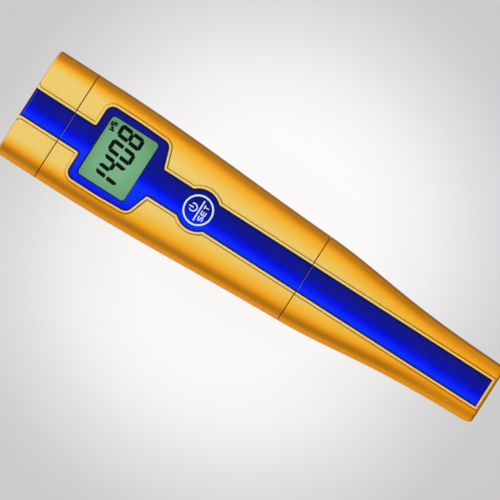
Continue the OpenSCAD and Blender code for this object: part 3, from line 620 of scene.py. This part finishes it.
def rear_shell():
    """Back half of the body, with its closing posts and ribs."""
    piece = Piece()
    rings = []
    for s in [BODY_S[0]] + spread(*PLAIN_S, 60) + [BODY_S[1]]:
        at_seam = s in BODY_S
        inset = SEAM_EDGE * at_seam
        w = half_width(s)
        outer = [(w - SEAM_EDGE, AXIS_Z, PARTING_DARK), (w - inset, AXIS_Z - SEAM_EDGE, 0)]
        outer += [(x, z, SEAM_SHADE * at_seam) for x, z in back_path(s, inset)]
        inner = [(w - WALL, AXIS_Z, 0)] + [(x, z, 0) for x, z in back_path(s, WALL)]
        outer, inner = (half + [(-x, z, d) for x, z, d in half[-2::-1]] for half in (outer, inner))
        rings.append([(x, s, z, d) for x, z, d in outer + inner[::-1]])
    piece.loft(rings)
    seat = AXIS_Z - POST_GAP
    pin = ((POST_R, POST_LOW), (POST_R, seat), (PEG_R, seat), (PEG_R, AXIS_Z + PEG_L))
    for place in POSTS:
        piece.loft([[(*p, z) for p in circle(*place, r, POST_SIDES)] for r, z in pin])
    for s in RIBS_S:
        half = half_width(s) - edge_radius(s, BACK_EDGE_R)
        corners = ((-half, WALL / 2), (half, WALL / 2), (half, WALL + RIB_H), (-half, WALL + RIB_H))
        piece.loft([[(x, at, z) for x, z in corners] for at in (s, s + RIB_T)])
    piece.finish("rear_moulding", "housing", "orange_plastic", "rear_shell")


def bead_at(grow):
    """Rise and painted shading of the bead at a distance from the panel."""
    for (g0, rise0, dirt0), (g1, rise1, dirt1) in zip(BEAD[1:], BEAD[2:]):
        if grow <= g1:
            share = max(0, (grow - g0) / (g1 - g0))
            return rise0 + (rise1 - rise0) * share, dirt0 + (dirt1 - dirt0) * share
    return 0, 0


def cap_ring(s, inset, strip=False, flare=1, past=None):
    """Ring around a cap's section. With strip, the crown carries the recess and its bead. Past the strip's
    end, past is the distance from it, and the bead runs across the ring."""
    path, full = FrontPath(s, inset), FrontPath(s)
    floor_shares = (0, 0.35, 0.7)
    marks = [(STRIP_HALF * f, -RECESS_D, RECESS_DARK) for f in floor_shares]
    marks += [(STRIP_HALF + g * flare, rise, d) for g, rise, d in BEAD]
    fade = 1 - min(1, inset / END_R)
    right = []
    for x, rise, held in marks:
        if past is not None:
            rise, held = bead_at(max(past, x - STRIP_HALF))
        elif not strip:
            rise, held = 0, 0
        z = path.height(x)
        z = min(z, full.height(x) + rise) if rise < 0 else z + rise * fade
        right.append((x, z, held))
    start = path.length_at(marks[-1][0])
    right += [(*path.at(l), 0) for l in spread(start, path.length, SIDE_COLUMNS)[1:]]
    right += [(x, z, 0) for x, z in back_path(s, inset)]
    squeeze = TIP_ROUND * eased(s, TIP_ROUND_S, LENGTH)
    clear = STRIP_HALF + BEAD_W
    right = [(x - squeeze * max(0, x - clear) / (path.w - clear), z, d) for x, z, d in right]
    ring = right + [(-x, z, d) for x, z, d in right[-2:0:-1]]
    return [(x, s, z, d) for x, z, d in ring]


def mouth_ring(s):
    """Ring at a cap's mouth, set in by the softened edge and dark with painted shade."""
    return [(x, s, z - SEAM_EDGE * (z > AXIS_Z), SEAM_SHADE) for x, _, z, _ in cap_ring(s, 0, True)]


def round_ring(s, r):
    """Circle around the axis, with its points at the angles of a cap's ring."""
    angles = [atan2(z - AXIS_Z, x) for x, _, z, _ in cap_ring(s, WALL)]
    return [(r * cos(a), s, AXIS_Z + r * sin(a)) for a in angles]


def shaded_ring(ring, dirt):
    """A ring with painted shading, lighter or darker, on its plain stretches."""
    return [(x, s, z, held or dirt) for x, s, z, held in ring]


def battery_cap():
    """Cap over the battery end, with its plug and the post that holds the tray."""
    piece = Piece()
    # The bead spreads towards the end, and the rounded end carries a pale painted highlight
    end_steps, flare_l, flare_reach = 7, 1.9, 0.9
    end_highlight, highlight_rings = -0.35, (2, 3, 4)
    stations = [END_R * (1 - cos(a)) for a in spread(0, pi / 2, end_steps)]
    stations += [1.6, 2.1, 2.6] + spread(3.4, BATTERY_MOUTH_S - SEAM_EDGE, 8)
    rings = []
    for k, s in enumerate(stations):
        flare = 1 + flare_reach * (1 - smoothstep(s / flare_l)) ** 2
        ring = cap_ring(s, end_inset(s), True, flare)
        rings.append(shaded_ring(ring, end_highlight) if k in highlight_rings else ring)
    rings += [mouth_ring(BATTERY_MOUTH_S), cap_ring(BATTERY_MOUTH_S, WALL), cap_ring(WALL + END_EXTRA, WALL)]
    piece.loft(rings)
    plug_r, plug_in, plug_end, lead = 11.95, 9.95, 21.4, 0.5
    near, far, groove_r = 18.3 - 0.85, 18.3 + 0.85, 10.69
    piece.turned([
        (WALL, plug_r), (near, plug_r), (near, groove_r), (far, groove_r), (far, plug_r),
        (plug_end - lead, plug_r), (plug_end, plug_r - lead), (plug_end, plug_in), (WALL, plug_in),
    ])
    post_r, post_bore, post_end = 3.4, 1.05, 18.4
    piece.turned([(WALL, post_r), (post_end, post_r), (post_end, post_bore), (WALL, post_bore)], 48)
    piece.finish("battery_end_cap", "battery_end", "orange_plastic", "battery_cap")


def electrode_cap():
    """Cap over the probe, from its inner floor over the mouth to the rounded tip."""
    piece = Piece()
    mouth, bore_r, bore_l, step = ELECTRODE_MOUTH_S, 11.8, 4.7, 0.3
    rings = [cap_ring(s, WALL) for s in spread(LENGTH - WALL - END_EXTRA, mouth + bore_l, 24)]
    rings += [round_ring(mouth + bore_l, bore_r), round_ring(mouth + step, bore_r)]
    rings += [cap_ring(mouth + step, WALL), cap_ring(mouth, WALL), mouth_ring(mouth)]
    rings += [cap_ring(s, 0, True) for s in spread(mouth + SEAM_EDGE, STRIP_END_S, 64)]
    for grow, *_ in BEAD[1:]:
        s = STRIP_END_S + grow
        rings.append(cap_ring(s, end_inset(s), past=grow))
    rounded = LENGTH - STRIP_END_S - BEAD_W
    # The rounded tip darkens with painted shade towards its end face, which stays plain
    end_steps, dirt_step, dirt_most = 6, 0.12, 0.4
    for i in range(1, end_steps + 1):
        s = LENGTH - rounded * (1 - sin(pi / 2 * i / end_steps))
        rings.append(shaded_ring(cap_ring(s, end_inset(s)), 0 if i == end_steps else min(dirt_most, dirt_step * i)))
    piece.loft(rings)
    piece.finish("electrode_end_cap", "probe_cap", "orange_plastic", "electrode_cap")


def seam_shade_lip(name, seam, way):
    """Lip on the body's rim, set in and dark with painted shade, which closes the seam to a line."""
    piece = Piece()
    near, far, outer, inner = 0.01, 0.15, 0.2, WALL - 0.1
    # Painted shade of the seam: dark brown, and near black where the blue strip crosses
    dirt, strip_dirt = 1.3, 2
    s0, s1 = sorted((seam + way * near, seam + way * far))
    rings = []
    for s, inset in ((s0, outer), (s1, outer), (s1, inner), (s0, inner), (s0, outer)):
        rings.append([])
        for x, _, z, _ in cap_ring(s, inset, True):
            at_strip = abs(x) < STRIP_HALF and z > AXIS_Z
            rings[-1].append((x, s, z, strip_dirt if at_strip else dirt))
    piece.strips(rings, closed=True)
    piece.finish(name, "housing", "orange_plastic")


# Blue panel
STRIP_XS = [STRIP_HALF] + spread(STRIP_HALF - PANEL_RIM, PANEL_RIM - STRIP_HALF, 6) + [-STRIP_HALF]


def finish_film(piece, name, body, node):
    """Finishes a piece of the blue film, with a small round on its hard edges."""
    film = piece.finish(name, body, "blue_overlay", node, angle=FILM_ANGLE)
    bevel = film.modifiers.new("soft_edges", "BEVEL")
    bevel.width = PANEL_EDGE * MM
    bevel.segments = 2
    bevel.limit_method = "ANGLE"
    bevel.angle_limit = radians(FILM_ANGLE)
    bevel.harden_normals = True


def front_panel():
    """Printed panel on the body, with openings for the window and the white ring."""
    piece = Piece()

    def right_edge(grow):
        half = STRIP_HALF + grow
        return [(half, BODY_S[0])] + panel_side(grow)[0] + [(half, BODY_S[1])]

    def closed(right, across):
        s0, s1 = right[0][1], right[-1][1]
        left = [(-x, s) for x, s in right[::-1]]
        return right + [(x, s1) for x in across] + left + [(-x, s0) for x in across]

    def lowered(points, drop, dirt=0):
        return [(x, s, body_crown(x, 0) - drop, dirt) for x, s in points]

    edge, inner = right_edge(0), right_edge(-PANEL_RIM)
    outline = closed(edge, STRIP_XS[1:-1])
    window, frame_loop = (window_loop(g, WINDOW_CORNER_R + g) for g in (0, WINDOW_RIM))
    bore = circle(0, KEY_S, RING_R + RING_FIT)
    top = [closed(inner, STRIP_XS[2:-2]), frame_loop, bore]
    for loops, drop in ((top, PANEL_DROP), ([outline, window, bore], RECESS_D)):
        for tri in filled(loops, spacing=1.2, margin=0.4):
            piece.fill(lowered(tri, drop))
    right, left = ([[(side * x, s) for x, s in row] for row in (edge, inner)] for side in (1, -1))
    # Painted shadow along the panel's sides and around the window
    for (dark, plain), ring in ((right, False), (left, False), ((window, frame_loop), True)):
        piece.strips([lowered(dark, PANEL_DROP, 1), lowered(plain, PANEL_DROP)], ring)
    # The walls around the panel carry the painted shadow at their top edge
    rim = set(right[0] + left[0] + window)
    for loop in (outline, window, bore):
        upper = [(x, s, body_crown(x, 0) - PANEL_DROP, (x, s) in rim) for x, s in loop]
        piece.strips([upper, lowered(loop, RECESS_D)], closed=True)
    finish_film(piece, "panel_overlay", "housing", "front_panel")


def strip_piece(name, body, node, stations, rim_s):
    """Stretch of the blue strip on a cap, with a painted shadow along its sides and at some stations."""
    piece = Piece()
    rings = []
    for s in stations:
        path = FrontPath(s)
        drop = max(PANEL_DROP, end_inset(s))
        upper = [(x, s, path.crown(x) - drop, abs(x) == STRIP_HALF or s in rim_s) for x in STRIP_XS]
        rings.append(upper + [(x, s, path.crown(x) - RECESS_D) for x in STRIP_XS[::-1]])
    piece.loft(rings)
    finish_film(piece, name, body, node)


def ribbon(piece, points, width, lay, thick=0.04):
    """Flat stroke of even width along points in plan. lay gives the surface's height at x."""
    mitre_min = 0.5
    points = [Vector(p) for p in points]
    runs = [(b - a).normalized() for a, b in zip(points, points[1:])]
    rings = []
    for p, before, after in zip(points, runs[:1] + runs, runs + runs[-1:]):
        along = (before + after).normalized()
        across = Vector((-along.y, along.x)) * width / 2 / max(mitre_min, along.dot(after))
        left, right = p + across, p - across
        corners = ((left, thick), (right, thick), (right, 0), (left, 0))
        rings.append([(q.x, q.y, lay(q.x) + lift) for q, lift in corners])
    piece.loft(rings)


def key_marks():
    """Power sign, dividing line and the word below it, printed on the key."""
    piece = Piece()
    sunk = 0.01

    def mark(points, width):
        ribbon(piece, points, width, lambda x: body_crown(x, KEY_DROP) - sunk)

    sign_s, sign_r, stem_out, stem_in, stroke = KEY_S - 1.95, 1.3, 1.5, 0.15, 0.42
    gap = radians(42)
    mark(arc(0, sign_s, sign_r, -pi / 2 + gap, 1.5 * pi - gap, 30), stroke)
    mark([(0, sign_s - stem_out), (0, sign_s + stem_in)], stroke)
    bar_half, bar_w, bar_s = 3.7, 0.5, KEY_S + 0.28
    mark([(x, bar_s) for x in spread(-bar_half, bar_half, 12)], bar_w)
    letter_h, letter_w, pitch, stroke = 1.56, 1.45, 2.05, 0.36
    for k, strokes in enumerate(letters(KEY_S + 1.3, letter_h, letter_w)):
        for points in strokes:
            mark([(x + (k - 1) * pitch, s) for x, s in points], stroke)
    piece.finish("key_marks", "key", "white_plastic")


def letters(top, height, width):
    """Strokes of the letters S, E and T, down from a station."""
    start, tail, short = 0.25, 0.85, 0.7
    low, mid, half = top + height, top + height / 2, width / 2
    r = (mid - top) / 2
    curves = arc(0, top + r, r, -pi / 3, -1.5 * pi, 12) + arc(0, mid + r, r, -pi / 2, pi * tail, 12)
    yield [[(half, top + start * r)] + [(x * half / r, s) for x, s in curves]]
    yield [[(-half, top), (-half, mid), (-half, low)]] + [
        [(-half, s), (0, s), (reach, s)] for s, reach in ((top, half), (mid, short * half), (low, half))
    ]
    yield [[(-half, top), (0, top), (half, top)], [(0, top), (0, mid), (0, low)]]


# Segments of a digit: a top, b and c right, d bottom, e and f left, g middle
DIGIT_SEGMENTS = {"0": "abcdef", "1": "bc", "4": "bcfg", "8": "abcdefg"}
DIGIT_H = 9.45
DIGIT_W = 3.2
DIGIT_BAR = 1.34
DIGIT_SLANT = 0.1
DIGIT_PITCH = 5.65
FIRST_DIGIT_X = -8.88
DIGITS_S = 30.32
# Unit beside the digits, as strokes through (x, station)
UNIT_STROKES = (
    ((6.86, 27.4), (6.86, 29.15)),
    ((6.86, 28.35), (7.7, 28.35), (7.7, 27.4)),
    ((9.58, 27.15), (8.5, 27.15), (8.5, 27.95), (9.58, 27.95), (9.58, 28.75), (8.5, 28.75)),
)


def segment_outlines():
    """Outlines of a digit's segments, as (across, down) from the middle of the digit's top."""
    half, near, mid = DIGIT_W / 2, DIGIT_BAR / 2, DIGIT_H / 2
    cut, part, tip, shoulder, short = 0.9, 0.02, 0.22, 0.5, 0.12
    out, back = half + near, half - near
    top = [
        (-out + cut, 0), (out - cut, 0), (out - cut / 2 - part, cut / 2), (back - part, DIGIT_BAR),
        (-back + part, DIGIT_BAR), (-out + cut / 2 + part, cut / 2),
    ]
    side = [
        (out, cut + part), (out, mid - shoulder), (half, mid - tip), (back, mid - shoulder),
        (back, DIGIT_BAR + part), (out - cut / 2, cut / 2 + part),
    ]
    reach = half - short
    bar = [
        (-reach, mid), (-reach + near, mid - near), (reach - near, mid - near),
        (reach, mid), (reach - near, mid + near), (-reach + near, mid + near),
    ]

    def flipped(outline, u, v):
        return [(u * x, y if v > 0 else DIGIT_H - y) for x, y in outline]

    return {
        "a": top, "b": side, "c": flipped(side, 1, -1), "d": flipped(top, 1, -1),
        "e": flipped(side, -1, -1), "f": flipped(side, -1, 1), "g": bar,
    }


def display_digits():
    """Reading on the display, in seven-segment digits, with its unit."""
    piece = Piece()
    above, thick, stroke = 0.012, 0.05, 0.6
    z = LCD_TOP + above
    outlines = segment_outlines()
    for k, digit in enumerate("1408"):
        for name in DIGIT_SEGMENTS[digit]:
            lean = [(u + DIGIT_SLANT * (DIGIT_H / 2 - v), v) for u, v in outlines[name]]
            at_x = FIRST_DIGIT_X + k * DIGIT_PITCH
            piece.loft([[(at_x + u, DIGITS_S + v, z + lift) for u, v in lean] for lift in (thick, 0)])
    for points in UNIT_STROKES:
        ribbon(piece, points, stroke, lambda x: z, thick)
    piece.finish("display_reading", "housing", "display_green", look="lcd_ink")


def window_mask():
    """Dark frame printed under the edge of the window, set off centre so that it also paints the edge's
    shadow.
    """
    piece = Piece()
    lift, thick, margin = 0.07, 0.02, 0.6
    # The frame's offset paints the window edge's shadow, wider on the battery side and towards -x
    inset_x, inset_s, shift_x, shift_s = 0.17, 0.23, 0.1, 0.17
    z = LCD_TOP + lift
    half_x, half_s = WINDOW_HALF
    inner = round_rect(WINDOW_S + shift_s, half_x - inset_x, half_s - inset_s, WINDOW_CORNER_R)
    piece.tube(window_loop(margin), [(x + shift_x, s) for x, s in inner], z, z + thick)
    piece.finish("window_mask", "housing", "black_plastic")


def window_sleeve():
    """Dark lining between the lens and the opening in the front, which also stands in for the shade in the
    window's well.
    """
    piece = Piece()
    fit, thick, below, foot_z = 0.02, 0.06, 0.2, PAD_Z + 0.02
    rows = []
    out, back = -fit, -fit - thick
    for grow, top in ((out, True), (back, True), (back, False), (out, False), (out, True)):
        loop = window_loop(grow)
        rows.append([(x, s, body_crown(x, PANEL_DROP) - below if top else foot_z) for x, s in loop])
    piece.strips(rows, closed=True)
    piece.finish("window_sleeve", "housing", "black_rubber")


# Materials
def srgb(*triple):
    """Linear colour of an sRGB triple from 0 to 255."""
    shares = [c / 255 for c in triple]
    return *(c / 12.92 if c <= 0.04045 else ((c + 0.055) / 1.055) ** 2.4 for c in shares), 1


class Nodes:
    """Shader nodes of a material or of the surroundings."""

    def __init__(self, tree):
        self.tree = tree

    def add(self, kind, settings=(), **inputs):
        """New node. An input goes by its socket's name, or by i and the socket's number."""
        node = self.tree.nodes.new("ShaderNode" + kind)
        for key, value in dict(settings).items():
            setattr(node, key, value)
        for key, value in inputs.items():
            socket = node.inputs[int(key[1:]) if key[1:].isdigit() else key.replace("_", " ")]
            if isinstance(value, bpy.types.NodeSocket):
                self.tree.links.new(value, socket)
            else:
                socket.default_value = value
        return node

    def calc(self, operation, *values, clamp=False):
        inputs = {f"i{k}": value for k, value in enumerate(values)}
        return self.add("Math", {"operation": operation, "use_clamp": clamp}, **inputs).outputs[0]

    def span(self, value, low, high, to_low=0, to_high=1):
        return self.add("MapRange", i0=value, i1=low, i2=high, i3=to_low, i4=to_high).outputs[0]

    def ramp(self, value, stops):
        """Colour by a value, from stops of a position and a colour."""
        made = self.add("ValToRGB", Fac=value)
        elements = made.color_ramp.elements
        while len(elements) < len(stops):
            elements.new(0.5)
        for element, (at, colour) in zip(elements, stops):
            element.position = at
            element.color = colour
        return made.outputs[0]

    def tones(self, value, table):
        """Colour by a length, from a table of millimetres and sRGB triples."""
        first, last = table[0][0], table[-1][0]
        stops = [((at - first) / (last - first), srgb(*tone)) for at, *tone in table]
        return self.ramp(self.span(value, first * MM, last * MM), stops)


FINISHES = {}


class Finish(Nodes):
    """Procedural material around one Principled shader, over the object's own coordinates."""

    def __init__(self, name, roughness, **sockets):
        material = FINISHES[name] = bpy.data.materials.new(name)
        material.use_nodes = True
        super().__init__(material.node_tree)
        self.shader = self.tree.nodes["Principled BSDF"]
        for socket, value in dict(sockets, Roughness=roughness).items():
            self.shader.inputs[socket.replace("_", " ")].default_value = value
        self.where = self.add("TexCoord").outputs["Object"]

    def into(self, socket, value):
        self.tree.links.new(value, self.shader.inputs[socket])

    def mapped(self, scale):
        return self.add("Mapping", Vector=self.where, Scale=scale).outputs[0]

    def distance(self, where, place):
        return self.add("VectorMath", {"operation": "DISTANCE"}, i0=where, i1=place).outputs["Value"]

    def noise(self, scale, stretch=(1, 1, 1), detail=3):
        """Noise, stretched along an axis where its factor is small."""
        return self.add("TexNoise", Vector=self.mapped(stretch), Scale=scale, Detail=detail).outputs[0]

    def axis(self, index):
        return self.add("SeparateXYZ", i0=self.where).outputs[index]

    def mix(self, share, a, b):
        return self.add("Mix", {"data_type": "RGBA"}, i0=share, i6=a, i7=b).outputs[2]

    def scaled(self, value, factor):
        return self.calc("MULTIPLY", value, factor, clamp=True)

    def attribute(self, name):
        return self.add("Attribute", {"attribute_name": name}).outputs["Fac"]

    def colour(self, value):
        self.into("Base Color", value)

    def rough(self, value, low, high):
        self.into("Roughness", self.span(value, 0.3, 0.7, low, high))

    def bump(self, value, distance, strength):
        self.into("Normal", self.add("Bump", Height=value, Strength=strength, Distance=distance).outputs[0])


# Orange by the distance from the housing's edge, in millimetres: a pale painted highlight on the front,
# and painted shade in bands along the edges
ORANGE_PAINTED_SHADING = (
    (12.0, 238, 205, 112), (10.6, 238, 204, 110), (8.6, 238, 197, 92), (6.6, 240, 184, 60),
    (5.6, 241, 177, 48), (4.6, 241, 164, 28), (4.0, 232, 150, 18), (3.4, 214, 134, 10),
    (2.9, 196, 120, 6), (2.4, 178, 110, 4), (1.9, 172, 108, 4), (1.4, 182, 115, 5),
    (1.0, 202, 127, 8), (0.6, 222, 138, 10), (0.0, 226, 143, 10),
)
# Stations between which the painted shading fades towards plain orange at the tip, and how far it does
TIP_TONE_S = (145, 166)
TIP_TONE = 0.35


def orange_plastic():
    """Moulded orange with painted shading: pale front and bead, dark edges, grooves and seams; faint streaks
    along it.
    """
    f = Finish("orange_plastic", 0.42, Specular_IOR_Level=0.035)
    shaded_orange = f.ramp(f.attribute("turn"), [(1 - d / TONE_REACH, srgb(*tone)) for d, *tone in ORANGE_PAINTED_SHADING])
    tip = f.span(f.axis(1), *map(y_at, TIP_TONE_S), 0, TIP_TONE)
    shaded_orange = f.mix(tip, shaded_orange, srgb(240, 152, 14))
    streaks = f.noise(2600, (1, 0.02, 1), 2)
    cloud = f.noise(70)
    dirt = f.attribute("dirt")
    toned = f.mix(f.span(streaks, 0.35, 0.65, 0, 0.06), shaded_orange, srgb(252, 208, 70))
    toned = f.mix(f.span(cloud, 0.35, 0.65, 0, 0.06), toned, srgb(226, 146, 24))
    # Painted shading: below zero a pale painted highlight, above zero a painted shade, above one a
    # near-black painted shade
    toned = f.mix(f.scaled(dirt, -0.9), toned, srgb(238, 213, 146))
    toned = f.mix(f.scaled(dirt, 0.9), toned, srgb(126, 80, 6))
    f.colour(f.mix(f.span(dirt, 1, 2), toned, srgb(16, 14, 24)))
    f.rough(cloud, 0.38, 0.48)
    f.bump(f.noise(3200, detail=2), 0.00004, 0.25)


# Blue across the film, by x: painted light and shade, bright blue towards -x and navy towards +x
BLUE_PAINTED_SHADING = (
    (-12.5, 0, 28, 247), (-8.5, 6, 50, 248), (-4.3, 8, 50, 250), (-3.0, 0, 35, 255),
    (-2.3, 0, 20, 251), (-1.2, 0, 12, 209), (0.0, 5, 15, 168), (1.6, 12, 18, 141),
    (3.2, 13, 18, 130),
)
# How much darker the key is than the film around it
KEY_SHADE = 0.22
# Pale lines on the film, at its cut edges and, as a painted highlight, where it bends over the end: station,
# strength and colour
LINE_W = 0.26
PALE_LINES = (
    (BODY_S[0], 0.14, (196, 200, 240)),
    (ELECTRODE_MOUTH_S, 0.14, (196, 200, 240)),
    (0.7, 0.5, (52, 82, 255)),
)


def blue_overlay():
    """Printed film with painted light and shade from bright blue to navy across it, a painted shadow rim and
    pale lines.
    """
    f = Finish("blue_overlay", 0.34, Specular_IOR_Level=0.14)
    grain = f.noise(2600, detail=2)
    toned = f.mix(f.span(grain, 0.35, 0.65, 0, 0.12), f.tones(f.axis(0), BLUE_PAINTED_SHADING), srgb(22, 36, 210))
    from_key = f.distance(f.mapped((1, 1, 0)), (0, y_at(KEY_S), 0))
    key = f.span(from_key, RING_R * MM, KEY_BORE_R * MM, 0, KEY_SHADE)
    toned = f.mix(key, toned, srgb(18, 26, 60))
    along = f.axis(1)
    for s, share, pale in PALE_LINES:
        on_line = f.calc("COMPARE", along, y_at(s + LINE_W / 2), LINE_W / 2 * MM)
        toned = f.mix(f.scaled(on_line, share), toned, srgb(*pale))
    # Painted shadow along the film's edges, in navy
    f.colour(f.mix(f.scaled(f.attribute("dirt"), 0.9), toned, srgb(6, 8, 40)))
    f.rough(f.noise(240), 0.28, 0.38)
    f.bump(grain, 0.00002, 0.2)


def moulded(name, colour, deep, roughness, **sockets):
    """Moulded plastic or rubber with a fine grain and a faint cloud in its colour."""
    f = Finish(name, roughness, **sockets)
    f.colour(f.mix(f.span(f.noise(180), 0.3, 0.7), srgb(*colour), srgb(*deep)))
    f.rough(f.noise(420), roughness - 0.06, roughness + 0.08)
    f.bump(f.noise(3600, detail=2), 0.00004, 0.3)


def metal(name, colour, deep, roughness):
    """Metal with drawn marks along it and faint tarnish."""
    f = Finish(name, roughness, Metallic=1.0)
    drawn = f.noise(5200, (1, 0.06, 1), 2)
    f.colour(f.mix(f.span(f.noise(300), 0.35, 0.7), srgb(*colour), srgb(*deep)))
    f.rough(drawn, roughness - 0.08, roughness + 0.12)
    f.bump(drawn, 0.00002, 0.25)


def display_green():
    """Liquid-crystal layer with a painted glow, a fine grain and slow change of tone."""
    painted_glow = srgb(116, 176, 130)
    f = Finish("display_green", 0.5, Specular_IOR_Level=0.2, Emission_Color=painted_glow, Emission_Strength=0.55)
    tone = f.mix(f.span(f.noise(60), 0.3, 0.7), srgb(97, 147, 107), srgb(103, 153, 113))
    grain = f.noise(5200, detail=1)
    f.colour(f.mix(f.span(grain, 0.3, 0.7, 0, 0.1), tone, srgb(84, 134, 96)))
    f.bump(grain, 0.00001, 0.15)


def clear_window():
    """Clear acrylic lens, which shows by its gloss alone, with hairline marks in it."""
    f = Finish("clear_window", 0.06, Metallic=1.0)
    f.colour(f.mix(f.span(f.noise(90), 0.3, 0.7), srgb(252, 255, 253), srgb(240, 246, 243)))
    f.rough(f.noise(900, (1, 0.05, 1)), 0.03, 0.09)
    steep = f.calc("POWER", f.add("LayerWeight", Blend=0.5).outputs["Facing"], 5.0)
    f.into("Alpha", f.span(steep, 0, 1, 0.04, 1))


def board_green():
    """Solder mask over copper tracks, with the laminate's weave."""
    f = Finish("board_green", 0.35, Coat_Weight=0.4, Coat_Roughness=0.2)
    plan = f.mapped((1, 1, 0))
    tracks = f.add("TexBrick", Vector=plan, Scale=260.0, Mortar_Size=0.035).outputs["Fac"]
    lined = f.mix(f.scaled(tracks, 0.8), srgb(20, 96, 52), srgb(48, 140, 74))
    f.colour(f.mix(f.span(f.noise(260), 0.35, 0.65, 0, 0.3), lined, srgb(14, 76, 42)))
    f.bump(f.noise(2400, detail=2), 0.00003, 0.3)


orange_plastic()
blue_overlay()
clear_window()
display_green()
board_green()
moulded("white_plastic", (220, 232, 255), (211, 225, 252), 0.4)
moulded("black_plastic", (34, 34, 37), (24, 24, 27), 0.45)
moulded("grey_plastic", (92, 94, 98), (78, 80, 86), 0.5)
moulded("black_rubber", (28, 28, 28), (38, 37, 36), 0.7)
moulded("pink_elastomer", (196, 120, 132), (176, 100, 114), 0.6)
metal("bright_steel", (206, 208, 212), (178, 178, 180), 0.26)
metal("gold_contact", (226, 184, 92), (204, 156, 70), 0.24)
moulded("lcd_ink", (6, 8, 7), (12, 15, 13), 0.6, Specular_IOR_Level=0.05)

for node in frame["nodes"].values():
    for place in node.material_slots:
        place.material = FINISHES[place.material.name]

front_shell()
rear_shell()
battery_cap()
electrode_cap()
front_panel()
# The stations close up where the strip follows the rounded end, and the first three carry painted shade
bend_s = [0.12, 0.2, 0.32, 0.48, 0.7, 1.0]
stations = bend_s + spread(1.4, BATTERY_MOUTH_S, 10)
strip_piece("battery_end_strip", "battery_end", "battery_cap_strip", stations, bend_s[:3])
STRIP_END_FIT = 0.05
last_s = STRIP_END_S - STRIP_END_FIT
stations = spread(ELECTRODE_MOUTH_S, last_s - END_RIM, 56) + [last_s]
# The strip's end carries a painted shadow
strip_piece("electrode_end_strip", "probe_cap", "electrode_cap_strip", stations, [last_s])
seam_shade_lip("battery_seam_shade_lip", BODY_S[0], -1)
seam_shade_lip("electrode_seam_shade_lip", BODY_S[1], 1)
key_marks()
display_digits()
window_mask()
window_sleeve()


# Floor, light and camera
# Grey of the floor by the distance from the picture's middle, in millimetres: a painted pool of light, white
# below the meter
FLOOR_TONES = (
    (0, 252, 254, 255), (38, 252, 254, 255), (58, 241, 243, 245), (77, 222, 224, 226),
    (97, 205, 206, 207), (112, 202, 202, 202),
)
# Strength of the floor's own tone, and its share over the lit floor, which keeps the shadow
FLOOR_GLOW = 1.02
FLOOR_SHARE = 0.8
# Width of the picture in millimetres and in pixels, and the turn of the meter in it
FRAME_MM = 164.8
FRAME_PX = 500
TURN = radians(32.6956)
IMAGE_RIGHT = Vector((sin(TURN), -cos(TURN), 0))
IMAGE_UP = Vector((cos(TURN), sin(TURN), 0))
# The picture's middle from the meter's centre, to the right and up in pixels, and in the frame
MIDDLE_PX = (-8.07, -1.34)
MIDDLE = (IMAGE_RIGHT * MIDDLE_PX[0] + IMAGE_UP * MIDDLE_PX[1]) * FRAME_MM / FRAME_PX


def floor():
    """Pale floor with a painted pool of light, white below the meter and fading to light grey."""
    half = 3.0
    corners = [(-half, -half, 0), (half, -half, 0), (half, half, 0), (-half, half, 0)]
    mesh = bpy.data.meshes.new("floor")
    mesh.from_pydata(corners, [], [(0, 1, 2, 3)])
    f = Finish("floor_paper", 0.9, Specular_IOR_Level=0.1)
    tone = f.tones(f.distance(f.where, MIDDLE * MM), FLOOR_TONES)
    f.colour(tone)
    plain = f.add("Emission", Color=tone, Strength=FLOOR_GLOW)
    rays = f.add("LightPath").outputs
    seen = rays["Is Camera Ray"]
    for ray in ("Is Glossy Ray", "Is Transmission Ray"):
        seen = f.calc("MAXIMUM", seen, rays[ray])
    shown = f.add("MixShader", i0=f.scaled(seen, FLOOR_SHARE), i1=f.shader.outputs[0], i2=plain.outputs[0])
    f.tree.links.new(shown.outputs[0], f.tree.nodes["Material Output"].inputs["Surface"])
    mesh.materials.append(FINISHES["floor_paper"])
    plane = linked("floor", mesh)


def softbox(name, place, size, power):
    """Area lamp that faces the meter and isn't seen itself. Its place and size are metres."""
    lamp = bpy.data.lights.new(name, "AREA")
    lamp.shape = "RECTANGLE"
    lamp.size, lamp.size_y = size
    lamp.energy = power
    made = linked(name, lamp)
    made.location = place
    made.rotation_euler = (-Vector(place)).to_track_quat("-Z", "Y").to_euler()
    made.visible_camera = False


def camera():
    """Long lens straight above the front, turned so that the meter lies as in the photograph."""
    lens, sensor, focus_z = 1000.0, 36.0, 22.0
    data = bpy.data.cameras.new("camera")
    data.lens = lens
    data.sensor_width = sensor
    made = linked("camera", data)
    place = (MIDDLE + Vector((0, 0, focus_z + FRAME_MM * lens / sensor))) * MM
    turned = Matrix((IMAGE_RIGHT, IMAGE_UP, Vector((0, 0, 1)))).transposed().to_4x4()
    made.matrix_world = Matrix.Translation(place) @ turned
    bpy.context.scene.camera = made


# Brightness of the surroundings by height, and its strength. The dark zenith keeps the front free of glare.
SKY = ((0.0, 0.35), (0.15, 0.275), (0.45, 0.575), (0.8, 0.575), (0.9, 0.06), (1.0, 0.025))
SKY_STRENGTH = 2.06


def world():
    """Soft studio surroundings, brightest in a ring around the zenith."""
    made = bpy.data.worlds.new("studio")
    made.use_nodes = True
    sky = Nodes(made.node_tree)
    height = sky.add("SeparateXYZ", i0=sky.add("TexCoord").outputs["Generated"]).outputs[2]
    background = sky.tree.nodes["Background"].inputs
    sky.tree.links.new(sky.ramp(height, [(at, (v, v, v, 1)) for at, v in SKY]), background["Color"])
    background["Strength"].default_value = SKY_STRENGTH
    bpy.context.scene.world = made


floor()
world()
softbox("side_light", place=(1.2, 0.4, 0.9), size=(0.6, 1.0), power=6)
softbox("left_light", place=(-1.4, 0.2, 0.3), size=(0.4, 1.4), power=4.5)
camera()

bpy.context.scene.view_settings.view_transform = "Standard"
